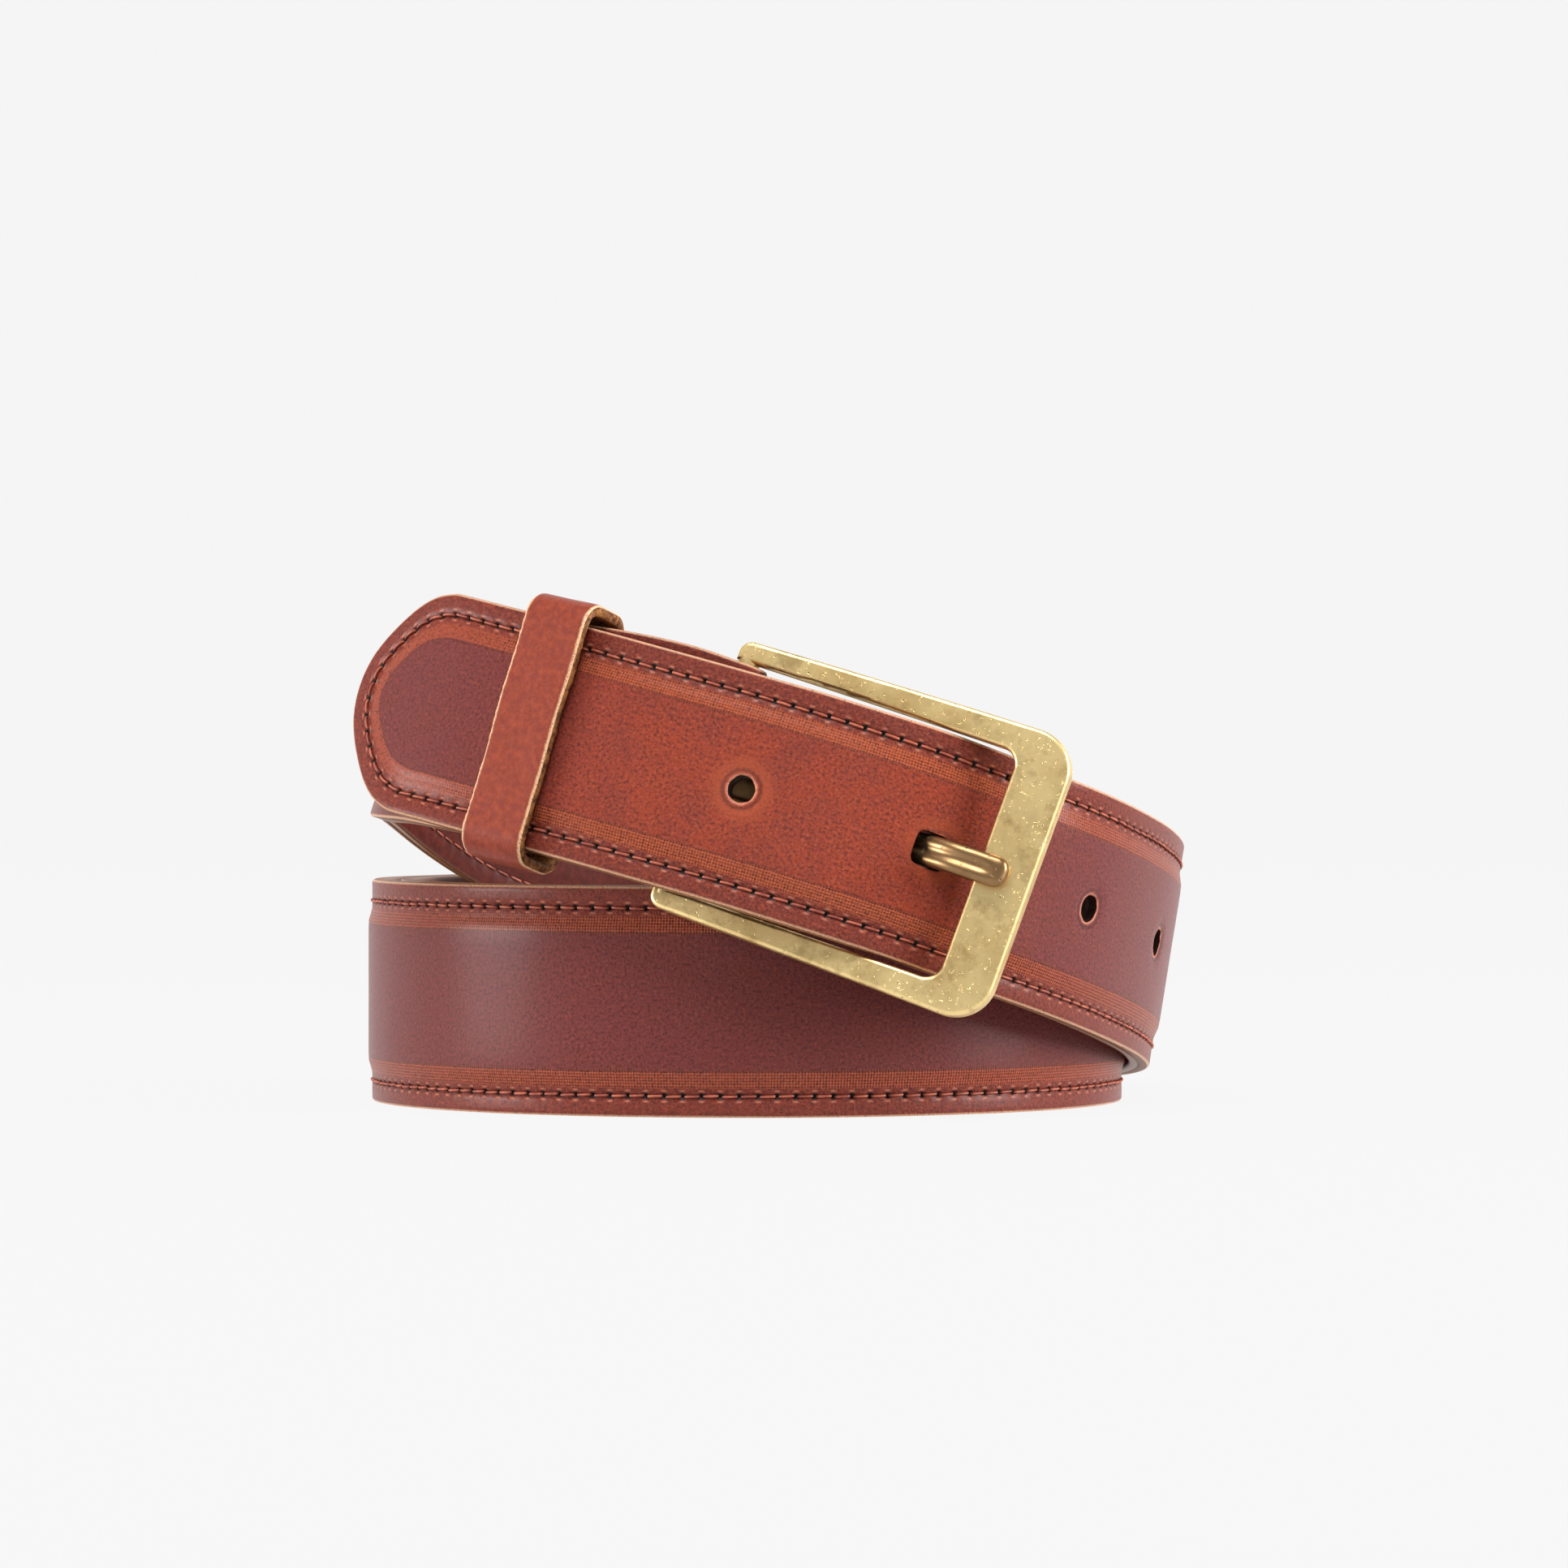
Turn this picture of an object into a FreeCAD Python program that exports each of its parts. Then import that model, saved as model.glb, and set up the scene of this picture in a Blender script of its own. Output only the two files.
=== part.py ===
import FreeCAD, Part
import math
import os

from FreeCAD import Vector

# A gentleman's leather belt, buckled into a loop and coiled to stand on its lower edge.
# The belt's middle line runs from the tip, over the buckle and round the loop's right
# turn, through two level turns on the ground, then up inside the coil and back under the
# tip to the buckle. Frame: +X to the right, +Y to the back, +Z up, millimetres.

# ---- Driving dimensions of the strap ----
STRAP_WIDTH = 35.0
GRAIN_THICK = 1.8
LINING_THICK = 1.5
FILLER_THICK = 0.6
FILLER_HALF = 10.6
SLOPE_HALF = 13.2
GLUE_GAP = 0.05
LINING_BACK = -1.85
GRAIN_BACK = LINING_BACK + LINING_THICK + GLUE_GAP
SKIVED_THICK = 1.5
FOLD_NARROWING = 0.2

THREAD_INSET = 3.3
THREAD_WIDE = 0.7
THREAD_DEEP = 0.22
THREAD_GAP = 0.05

HOLE_RADIUS = 2.1
HOLE_PITCH = 30.0
TIP_TO_HOLE = 72.2
HOLE_COUNT = 5
PRONG_HOLE = 1
TIP_TAPER = 14.0
TIP_NOSE_RADIUS = 13.0
TIP_NOSE_HALF_ANGLE = 50.0

# ---- The buckle, in its own frame: u to the outer bar, v up, d out of the strap ----
BAR_RADIUS = 1.75
BAR_CLEARANCE = 0.1
FRAME_REACH = 48.7
FRAME_SWING = -1.9
FRAME_DROP = 0.4
FRAME_THICK = 3.3
OUTER_BAR_WIDE = 8.3
OPENING_HALF = 18.2
HEEL_HALF = 21.3
OUTER_HALF = 22.7
HEEL_ROUND = 2.0
OUTER_ROUND = 6.3
OPENING_ROUND = 2.7
ARCH_RADIUS = 260.0
EDGE_ROUND = 0.6

PRONG_WIDE = 4.8
PRONG_THICK = 2.8
PRONG_EYE_THICK = 1.4
PRONG_TIP_ROUND = 1.6
PRONG_LIFT_MOST = 2.5
PRONG_ROOM = 0.3
# u and d of the prong's middle line: under the strap, up through its hole, over the bar
PRONG_LINE = [
    (2.0, 0.0),
    (10.0, -0.4),
    (20.0, -1.2),
    (29.0, -1.8),
    (33.0, -0.9),
    (37.0, 1.4),
    (40.5, 3.0),
    (44.0, 3.4),
    (49.5, 3.4),
]
FOLD_SLOT_HALF = 2.8
FOLD_SLOT_BACK = 9.0
FLAP_LENGTH = 17.0
FLAP_SETTLE = 10.0
FLAP_GAP = 0.12
FOLD_ROWS = (11.5, 15.0)
FOLD_PITCH = 2.8
FOLD_STITCHES = 5
FOLD_STITCH_LONG = 1.9

# ---- The keeper ----
KEEPER_TO_HEEL = 26.5
KEEPER_WIDE = 10.6
KEEPER_THICK = 1.8
KEEPER_INSIDE_HALF = 18.9
KEEPER_FRONT = 4.7
KEEPER_BACK = 5.0
KEEPER_ROUND = 2.4
KEEPER_SEAM = 0.2
STAPLE_LONG = 8.0
STAPLE_WIDE = 1.2
STAPLE_THICK = 0.5
STAPLE_SPACING = 2.6
STAPLE_GAP = 0.02

# ---- The coil ----
COIL_CENTRE = (0.8, 59.5)
COIL_RADIUS = 59.0
COIL_PITCH = 4.4
GROUND_TRIM = 0.1
# the middle of the footprint, which becomes the part's origin
FOOTPRINT_MIDDLE = (3.604, 52.761)
SPAN_SECTIONS = 6
LEVEL_HEIGHT = STRAP_WIDTH / 2 - GROUND_TRIM
LEVEL_START = 225
LEVEL_END = 795
LEVEL_STEP = 30

# x, y, z of the middle line, then how far the strap's upper edge leans right and back
TIP_STATIONS = [
    (-59.2, 28.0, 65.0, 17.0, 4.0),
    (-46.5, 14.2, 61.9, 17.0, 5.0),
    (-32.0, 4.6, 58.1, 17.0, 5.5),
    (-16.5, -3.3, 53.9, 17.0, 6.0),
    (1.0, -8.6, 49.0, 17.0, 6.5),
    (22.0, -10.4, 42.5, 17.0, 6.5),
    (43.0, -1.2, 34.7, 16.0, 6.0),
    (58.2, 23.0, 28.0, 12.0, 4.0),
    (64.5, 55.0, 22.8, 9.0, 2.0),
    (49.0, 101.0, 18.8, 4.0, 0.0),
    (0.8, 120.6, 17.5, 0.0, 0.0),
]
BUCKLE_END_STATIONS = [
    (50.6, 69.5, 18.2, 4.0, 0.0),
    (33.5, 91.5, 24.0, 12.0, 0.0),
    (-1.0, 105.0, 35.5, 16.0, 1.0),
    (-34.0, 85.0, 47.8, 15.5, 3.0),
    (-52.4, 47.4, 61.3, 18.0, 4.0),
    (-48.7, 27.6, 61.2, 17.5, 4.5),
    (-39.5, 15.0, 59.8, 17.0, 5.0),
    (-29.5, 8.1, 57.8, 17.0, 5.5),
    (-13.5, 0.5, 54.8, 17.5, 6.0),
    (-6.3, -1.9, 52.4, 18.5, 6.0),
]


def level_stations():
    """The turns that stand on the ground, an even spiral that winds inward."""
    stations = []
    for turn in range(LEVEL_START, LEVEL_END + 1, LEVEL_STEP):
        radius = COIL_RADIUS - COIL_PITCH * (turn - 270) / 360
        angle = math.radians(turn)
        x = COIL_CENTRE[0] + radius * math.sin(angle)
        y = COIL_CENTRE[1] - radius * math.cos(angle)
        stations.append((x, y, LEVEL_HEIGHT, 0.0, 0.0))
    return stations


def smooth_slopes(knots, values):
    """Slopes of the natural cubic spline through values, for an even curvature."""
    count = len(knots)
    lower, diagonal, upper, right = [0.0] * count, [2.0] * count, [0.0] * count, [0.0] * count
    steps = [b - a for a, b in zip(knots, knots[1:])]
    rises = [(b - a) / h for a, b, h in zip(values, values[1:], steps)]
    upper[0], right[0] = 1.0, 3 * rises[0]
    lower[-1], right[-1] = 1.0, 3 * rises[-1]
    for i in range(1, count - 1):
        both = steps[i - 1] + steps[i]
        lower[i] = steps[i] / both
        upper[i] = steps[i - 1] / both
        right[i] = 3 * (lower[i] * rises[i - 1] + upper[i] * rises[i])
    for i in range(1, count):
        share = lower[i] / diagonal[i - 1]
        diagonal[i] -= share * upper[i - 1]
        right[i] -= share * right[i - 1]
    slopes = [0.0] * count
    slopes[-1] = right[-1] / diagonal[-1]
    for i in range(count - 2, -1, -1):
        slopes[i] = (right[i] - upper[i] * slopes[i + 1]) / diagonal[i]
    return slopes


def steady_slopes(knots, values):
    """Slopes that never overshoot, so that a level stretch stays level."""
    steps = [b - a for a, b in zip(knots, knots[1:])]
    rises = [(b - a) / h for a, b, h in zip(values, values[1:], steps)]
    slopes = [rises[0]]
    for i in range(1, len(values) - 1):
        before, after = rises[i - 1], rises[i]
        if before * after <= 0:
            slopes.append(0.0)
        else:
            near = 2 * steps[i] + steps[i - 1]
            far = steps[i] + 2 * steps[i - 1]
            slopes.append((near + far) / (near / before + far / after))
    slopes.append(rises[-1])
    return slopes


def hermite(knots, values, slopes, at):
    """The cubic through values with those slopes, at one place."""
    i = 0
    while i < len(knots) - 2 and at > knots[i + 1]:
        i += 1
    step = knots[i + 1] - knots[i]
    t = (at - knots[i]) / step
    near = (1 + 2 * t) * (1 - t) ** 2 * values[i] + t * t * (3 - 2 * t) * values[i + 1]
    return near + step * (t * (1 - t) ** 2 * slopes[i] - t * t * (1 - t) * slopes[i + 1])


class Route:
    """The strap's middle line, with the directions along, across and out of the strap."""

    def __init__(self, stations):
        self.knots = [0.0]
        for a, b in zip(stations, stations[1:]):
            self.knots.append(self.knots[-1] + math.dist(a[:3], b[:3]))
        self.columns = []
        for column in range(5):
            values = [station[column] for station in stations]
            slopes = smooth_slopes if column < 2 else steady_slopes
            self.columns.append((values, slopes(self.knots, values)))
        self.lengths, self.places = self.measure()
        self.length = self.lengths[-1]

    def point(self, knot):
        return Vector(*[hermite(self.knots, *self.columns[c], knot) for c in range(3)])

    def measure(self, count=2400):
        places = [self.knots[-1] * i / count for i in range(count + 1)]
        points = [self.point(place) for place in places]
        lengths = [0.0]
        for a, b in zip(points, points[1:]):
            lengths.append(lengths[-1] + (b - a).Length)
        return lengths, places

    def knot_at(self, distance):
        distance = min(max(distance, 0.0), self.length)
        low, high = 0, len(self.lengths) - 1
        while high - low > 1:
            middle = (low + high) // 2
            if self.lengths[middle] <= distance:
                low = middle
            else:
                high = middle
        share = (distance - self.lengths[low]) / (self.lengths[high] - self.lengths[low])
        return self.places[low] + share * (self.places[high] - self.places[low])

    def frame(self, distance):
        """Point, along, across (to the upper edge) and out (grain side) at a distance."""
        knot = self.knot_at(distance)
        small = 0.01
        along = (self.point(knot + small) - self.point(knot - small)).normalize()
        tilt = math.radians(hermite(self.knots, *self.columns[3], knot))
        lean = math.radians(hermite(self.knots, *self.columns[4], knot))
        up = Vector(math.sin(tilt) * math.cos(lean), math.sin(lean), math.cos(tilt) * math.cos(lean))
        across = (up - along * up.dot(along)).normalize()
        return self.point(knot), along, across, along.cross(across)


ROUTE = Route(TIP_STATIONS + level_stations() + BUCKLE_END_STATIONS)
HEEL = ROUTE.length
HOLE_PLACES = [TIP_TO_HOLE + HOLE_PITCH * number for number in range(HOLE_COUNT)]
BAR_DEPTH = BAR_RADIUS + BAR_CLEARANCE - GRAIN_BACK


def ribbon(frames, sections):
    """A closed solid through one polygon of (across, out) corners at each frame."""
    knots = [0.0]
    for a, b in zip(frames, frames[1:]):
        knots.append(knots[-1] + (b[0] - a[0]).Length)
    curves = []
    for corner in range(len(sections[0])):
        points = []
        for (point, across, out), section in zip(frames, sections):
            points.append(point + across * section[corner][0] + out * section[corner][1])
        curve = Part.BSplineCurve()
        curve.interpolate(Points=points, Parameters=knots)
        curves.append(curve)
    faces = []
    for first in range(0, len(knots) - 1, SPAN_SECTIONS):
        last = min(first + SPAN_SECTIONS, len(knots) - 1)
        edges = [curve.toShape(knots[first], knots[last]) for curve in curves]
        faces += [Part.makeRuledSurface(a, b) for a, b in zip(edges, edges[1:] + edges[:1])]
    for knot in (knots[0], knots[-1]):
        corners = [curve.value(knot) for curve in curves]
        faces.append(Part.Face(Part.makePolygon(corners + corners[:1])))
    return closed_solid(faces)


def closed_solid(faces):
    shell = Part.makeShell(faces)
    shell.sewShape()
    solid = Part.Solid(shell)
    if solid.Volume < 0:
        solid.reverse()
    return solid


def distances(start, end, step):
    count = max(2, round((end - start) / step))
    return [start + (end - start) * i / count for i in range(count + 1)]


def strap_frames(places):
    frames = []
    for place in places:
        point, along, across, out = ROUTE.frame(place)
        frames.append((point, across, out))
    return frames


def ease(value):
    value = min(max(value, 0.0), 1.0)
    return value * value * (3 - 2 * value)


def raise_at(place):
    """Height of the padded middle, which fades out before the buckle."""
    return FILLER_THICK * ease((HEEL - 8.0 - place) / 16.0)


def half_width_at(place):
    return STRAP_WIDTH / 2 - FOLD_NARROWING * ease((place - HEEL + 20.0) / 16.0)


def grain_section(half, raised, thick):
    """Grain leather: flat margins, and a middle that rises over the filler."""
    low, high = GRAIN_BACK, GRAIN_BACK + thick
    lower = [(-half, low), (-SLOPE_HALF, low), (-FILLER_HALF, low + raised)]
    upper = [(-half, high), (-SLOPE_HALF, high), (-FILLER_HALF, high + raised)]
    lower += [(-across, out) for across, out in reversed(lower)]
    upper += [(-across, out) for across, out in reversed(upper)]
    return lower + upper[::-1]


def fold_frames():
    """From the heel round the bar, then back along the lining as the fold-back flap."""
    point, along, across, out = ROUTE.frame(HEEL)
    bar = point - out * BAR_DEPTH
    frames = []
    for angle in range(20, 181, 20):
        turned = out * math.cos(math.radians(angle)) + along * math.sin(math.radians(angle))
        frames.append((bar + turned * BAR_DEPTH, across, turned))
    frames += [flap_frame(back) for back in distances(0.0, FLAP_LENGTH, 2.0)[1:]]
    return frames


def flap_frame(back):
    """The fold-back flap, which settles against the lining behind the heel bar."""
    point, along, across, out = ROUTE.frame(HEEL - back)
    settle = ease(back / FLAP_SETTLE)
    lining_side = LINING_BACK - FLAP_GAP + GRAIN_BACK
    depth = (1 - settle) * (-2 * BAR_DEPTH) + settle * lining_side
    return point + out * depth, across, out * -1


def strap_outer():
    places = distances(0.0, HEEL, 5.0)
    frames = strap_frames(places)
    sections = []
    for place in places:
        thick = GRAIN_THICK - (GRAIN_THICK - SKIVED_THICK) * ease((place - HEEL + 20.0) / 16.0)
        sections.append(grain_section(half_width_at(place), raise_at(place), thick))
    fold = fold_frames()
    return ribbon(frames + fold, sections + [sections[-1]] * len(fold))


def strap_filler():
    places = distances(TIP_TAPER + 3.0, HEEL - 26.0, 5.0)
    low = GRAIN_BACK - GLUE_GAP / 2
    high = GRAIN_BACK + FILLER_THICK - GLUE_GAP / 2
    section = [(-FILLER_HALF, low), (FILLER_HALF, low), (FILLER_HALF, high), (-FILLER_HALF, high)]
    return ribbon(strap_frames(places), [section] * len(places))


def strap_lining():
    places = distances(0.0, HEEL - 5.0, 5.0)
    sections = []
    for place in places:
        half = half_width_at(place)
        low, high = LINING_BACK, LINING_BACK + LINING_THICK
        sections.append([(-half, low), (half, low), (half, high), (-half, high)])
    return ribbon(strap_frames(places), sections)


def thread_rows(start, end, low):
    """One line of stitching along each edge, lying on the leather."""
    places = distances(start, end, 5.0)
    rows = []
    for side in (-1, 1):
        sections = []
        for place in places:
            middle = side * (half_width_at(place) - THREAD_INSET)
            near, far = middle - THREAD_WIDE / 2, middle + THREAD_WIDE / 2
            high = low + THREAD_DEEP
            sections.append([(near, low), (far, low), (far, high), (near, high)])
        rows.append(ribbon(strap_frames(places), sections))
    return Part.makeCompound(rows)


def placed(shape, origin, x_axis, y_axis):
    """A shape drawn in its own x, y, z, moved to an origin with those two directions."""
    z_axis = x_axis.cross(y_axis)
    matrix = FreeCAD.Matrix(
        x_axis.x, y_axis.x, z_axis.x, origin.x,
        x_axis.y, y_axis.y, z_axis.y, origin.y,
        x_axis.z, y_axis.z, z_axis.z, origin.z,
        0, 0, 0, 1,
    )
    moved = shape.copy()
    moved.Placement = FreeCAD.Placement(matrix).multiply(shape.Placement)
    return moved


def tip_waste():
    """What is trimmed off the strap's square end to leave the rounded tip."""
    half_angle = math.radians(TIP_NOSE_HALF_ANGLE)
    radius = TIP_NOSE_RADIUS
    side = Vector(radius * (1 - math.cos(half_angle)), radius * math.sin(half_angle), 0)
    other = Vector(side.x, -side.y, 0)
    half = STRAP_WIDTH / 2
    corners = [side, Vector(TIP_TAPER, half + 0.01, 0), Vector(TIP_TAPER, half + 3, 0)]
    corners += [Vector(-5, half + 3, 0), Vector(-5, -half - 3, 0)]
    corners += [Vector(TIP_TAPER, -half - 3, 0), Vector(TIP_TAPER, -half - 0.01, 0), other]
    edges = [Part.LineSegment(a, b).toShape() for a, b in zip(corners, corners[1:])]
    edges.append(Part.Arc(other, Vector(0, 0, 0), side).toShape())
    prism = Part.Face(Part.Wire(edges)).extrude(Vector(0, 0, 12))
    prism.translate(Vector(-TIP_TAPER / 2, 0, -6))
    point, along, across, out = ROUTE.frame(TIP_TAPER / 2)
    return placed(prism, point, along, across)


def strap_holes():
    """The punched holes; the one in use is stretched along the strap by the prong."""
    holes = []
    for number, place in enumerate(HOLE_PLACES):
        point, along, across, out = ROUTE.frame(place)
        if number != PRONG_HOLE:
            punch = Part.makeCylinder(HOLE_RADIUS, 6.0, Vector(0, 0, -3.0))
            holes.append(placed(punch, point, along, across))
    holes.append(prong_passage())
    return holes


def buckle_axes():
    """Heel bar centre, and the buckle's directions u and v; it hangs low on its bar."""
    point, along, across, out = ROUTE.frame(HEEL)
    swing = math.radians(FRAME_SWING)
    reach = along * math.cos(swing) + out * math.sin(swing)
    return point - out * BAR_DEPTH - across * FRAME_DROP, reach, across


def on_buckle(shape):
    return placed(shape, *buckle_axes())


def outline(points, rounds):
    """A flat wire through points, each corner rounded by its own radius."""
    count = len(points)
    entries, middles, exits = [], [], []
    for i, (corner, radius) in enumerate(zip(points, rounds)):
        before = (points[i - 1] - corner).normalize()
        after = (points[(i + 1) % count] - corner).normalize()
        half = before.getAngle(after) / 2
        bisector = (before + after).normalize()
        entries.append(corner + before * (radius / math.tan(half)))
        exits.append(corner + after * (radius / math.tan(half)))
        middles.append(corner + bisector * (radius / math.sin(half) - radius))
    edges = []
    for i in range(count):
        edges.append(Part.Arc(entries[i], middles[i], exits[i]).toShape())
        edges.append(Part.LineSegment(exits[i], entries[(i + 1) % count]).toShape())
    return Part.Wire(edges)


def arched_slab():
    """A thin cylinder wall that bows the frame; its ends lie on the heel bar's level."""
    half_span = FRAME_REACH / 2
    drop = math.sqrt(ARCH_RADIUS**2 - half_span**2)
    start = Vector(half_span, -30, -drop)
    outer = Part.makeCylinder(ARCH_RADIUS + FRAME_THICK / 2, 60, start, Vector(0, 1, 0))
    inner = Part.makeCylinder(ARCH_RADIUS - FRAME_THICK / 2, 60, start, Vector(0, 1, 0))
    return outer.cut(inner)


def buckle_frame():
    far = FRAME_REACH + OUTER_BAR_WIDE / 2
    near = -BAR_RADIUS
    corners = [(near, -HEEL_HALF), (far, -OUTER_HALF), (far, OUTER_HALF), (near, HEEL_HALF)]
    rounds = [HEEL_ROUND, OUTER_ROUND, OUTER_ROUND, HEEL_ROUND]
    plate = Part.Face(outline([Vector(u, v, 0) for u, v in corners], rounds))
    inside = FRAME_REACH - OUTER_BAR_WIDE / 2
    opening = [(-9, -OPENING_HALF), (inside, -OPENING_HALF)]
    opening += [(inside, OPENING_HALF), (-9, OPENING_HALF)]
    window = Part.Face(outline([Vector(u, v, 0) for u, v in opening], [OPENING_ROUND] * 4))
    plate = plate.cut(window).extrude(Vector(0, 0, 20))
    plate.translate(Vector(0, 0, -10))
    plate = plate.common(arched_slab())
    rim = [edge for edge in plate.Edges if is_face_rim(edge)]
    plate = plate.makeFillet(EDGE_ROUND, rim)
    half = OPENING_HALF + 1.0
    bar = Part.makeCylinder(BAR_RADIUS, 2 * half, Vector(0, -half, 0), Vector(0, 1, 0))
    return on_buckle(plate.fuse(bar).removeSplitter())


def is_face_rim(edge):
    """True on the edges round the frame's two broad faces, not across its thickness."""
    ends = [vertex.Point for vertex in edge.Vertexes]
    return len(ends) < 2 or abs(ends[0].z - ends[-1].z) < FRAME_THICK / 2


def prong_side(offset, lift):
    """The prong's middle line moved out by an offset, then swung up by a lift."""
    middle = [Vector(u, 0, d) for u, d in PRONG_LINE]
    turn = FreeCAD.Rotation(Vector(0, 1, 0), -lift)
    points = []
    for i, point in enumerate(middle):
        before = middle[max(i - 1, 0)]
        after = middle[min(i + 1, len(middle) - 1)]
        outward = Vector(0, 1, 0).cross(before - after).normalize()
        points.append(turn.multVec(point + outward * offset))
    return points


def prong_blade(front, back, half):
    """A solid between two sides of the prong, half as wide as it is."""
    ends = []
    curves = []
    for points in (front, back):
        curve = Part.BSplineCurve()
        curve.interpolate(points)
        curves.append(curve.toShape())
        ends.append((points[0], points[-1]))
    edges = [curves[0], Part.LineSegment(ends[0][1], ends[1][1]).toShape()]
    edges += [curves[1], Part.LineSegment(ends[1][0], ends[0][0]).toShape()]
    face = Part.Face(Part.Wire(Part.__sortEdges__(edges)))
    face.translate(Vector(0, -half, 0))
    return face.extrude(Vector(0, 2 * half, 0))


def prong_passage():
    """The room that the prong takes in the strap, at rest and lifted."""
    half = PRONG_THICK / 2 + PRONG_ROOM
    front = prong_side(half, PRONG_LIFT_MOST)
    back = prong_side(-half, 0.0)
    blade = prong_blade(front, back, PRONG_WIDE / 2 + PRONG_ROOM)
    window = Part.makeBox(24, 10, 24, Vector(25, -5, -12))
    return on_buckle(blade.common(window))


def prong():
    """Curled round the heel bar, then under the strap, up through its hole and over."""
    half = PRONG_THICK / 2
    blade = prong_blade(prong_side(half, 0.0), prong_side(-half, 0.0), PRONG_WIDE / 2)
    length = PRONG_LINE[-1][0]
    corner = Vector(0, -PRONG_WIDE / 2, -15)
    trim = Part.makeBox(length - PRONG_TIP_ROUND, PRONG_WIDE, 30, corner)
    for side in (-1, 1):
        middle = Vector(length - PRONG_TIP_ROUND, side * (PRONG_WIDE / 2 - PRONG_TIP_ROUND), -15)
        trim = trim.fuse(Part.makeCylinder(PRONG_TIP_ROUND, 30, middle))
    gap = PRONG_WIDE - 2 * PRONG_TIP_ROUND
    trim = trim.fuse(Part.makeBox(length, gap, 30, Vector(0, -gap / 2, -15)))
    blade = blade.common(trim)
    hole = BAR_RADIUS + BAR_CLEARANCE
    base, up = Vector(0, -PRONG_WIDE / 2, 0), Vector(0, 1, 0)
    eye = Part.makeCylinder(hole + PRONG_EYE_THICK, PRONG_WIDE, base, up)
    bar_space = Part.makeCylinder(hole, PRONG_WIDE, base, up)
    return on_buckle(eye.fuse(blade).cut(bar_space).removeSplitter())


def fold_slot():
    """The slot in the fold that the prong's eye sits in."""
    long = FOLD_SLOT_BACK + 7
    corner = Vector(-FOLD_SLOT_BACK, -FOLD_SLOT_HALF, -9)
    slot = Part.makeBox(long, 2 * FOLD_SLOT_HALF, 13, corner)
    return on_buckle(slot)


def keeper_axes():
    """Middle of the keeper, between the two layers of strap, and its directions."""
    inner = ROUTE.frame(HEEL - KEEPER_TO_HEEL)
    layers = [ROUTE.frame(place) for place in distances(10.0, 60.0, 0.5)]
    outer = min(layers, key=lambda layer: abs((layer[0] - inner[0]).dot(inner[1])))
    middle = (inner[0] + outer[0]) / 2
    along = (inner[1] + outer[1]).normalize()
    across = inner[2] + outer[2]
    return middle, along, (across - along * across.dot(along)).normalize()


def on_keeper(shape):
    """x along the strap, y across it, z out of it."""
    return placed(shape, *keeper_axes())


def keeper_ring(half, front, back, radius):
    """A rounded box of the keeper's length: across to half, out to front, in to back."""
    corners = [(-half, -back), (half, -back), (half, front), (-half, front)]
    wire = outline([Vector(0, y, z) for y, z in corners], [radius] * 4)
    face = Part.Face(wire)
    face.translate(Vector(-KEEPER_WIDE / 2, 0, 0))
    return face.extrude(Vector(KEEPER_WIDE, 0, 0))


def keeper_loop():
    outside = [KEEPER_INSIDE_HALF, KEEPER_FRONT, KEEPER_BACK]
    outer = keeper_ring(*[size + KEEPER_THICK for size in outside], KEEPER_ROUND + KEEPER_THICK)
    loop = outer.cut(keeper_ring(*outside, KEEPER_ROUND))
    seam = Part.makeBox(2 * KEEPER_WIDE, KEEPER_SEAM, 6)
    seam.translate(Vector(-KEEPER_WIDE, -KEEPER_SEAM / 2, -KEEPER_BACK - 4))
    return on_keeper(loop.cut(seam))


def keeper_staples():
    """Two flat wires across the seam on the loop's back, clinched into the leather."""
    staples = []
    low = -KEEPER_BACK - KEEPER_THICK - STAPLE_GAP - STAPLE_THICK
    for side in (-1, 1):
        start = Vector(side * STAPLE_SPACING - STAPLE_WIDE / 2, -STAPLE_LONG / 2, low)
        staples.append(Part.makeBox(STAPLE_WIDE, STAPLE_LONG, STAPLE_THICK, start))
    return on_keeper(Part.makeCompound(staples))


def fold_stitching():
    """Two rows of stitches across the flap, which close the fold."""
    stitches = []
    for back in FOLD_ROWS:
        point, across, out = flap_frame(back)
        face = GRAIN_BACK + SKIVED_THICK + THREAD_GAP
        for number in range(-FOLD_STITCHES, FOLD_STITCHES + 1):
            if abs(number * FOLD_PITCH) < FOLD_SLOT_HALF + 1:
                continue
            low = Vector(0, number * FOLD_PITCH - FOLD_STITCH_LONG / 2, face + THREAD_WIDE / 2)
            stitch = Part.makeCylinder(THREAD_WIDE / 2, FOLD_STITCH_LONG, low, Vector(0, 1, 0))
            stitches.append(placed(stitch, point, across.cross(out), across))
    return Part.makeCompound(stitches)


def trimmed(layer):
    """A strap layer with its tip, holes and prong slot cut, standing flat on the ground."""
    ground = Part.makeBox(300, 300, 20, Vector(-150, -90, -20))
    return layer.cut([tip_waste(), fold_slot(), ground] + strap_holes())


def save(name, shape):
    shape.translate(Vector(-FOOTPRINT_MIDDLE[0], -FOOTPRINT_MIDDLE[1], 0))
    shape.exportStep(os.path.join("parts", name + ".step"))
    print(name, "volume", round(shape.Volume, 1), "solids", len(shape.Solids), shape.isValid())


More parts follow.
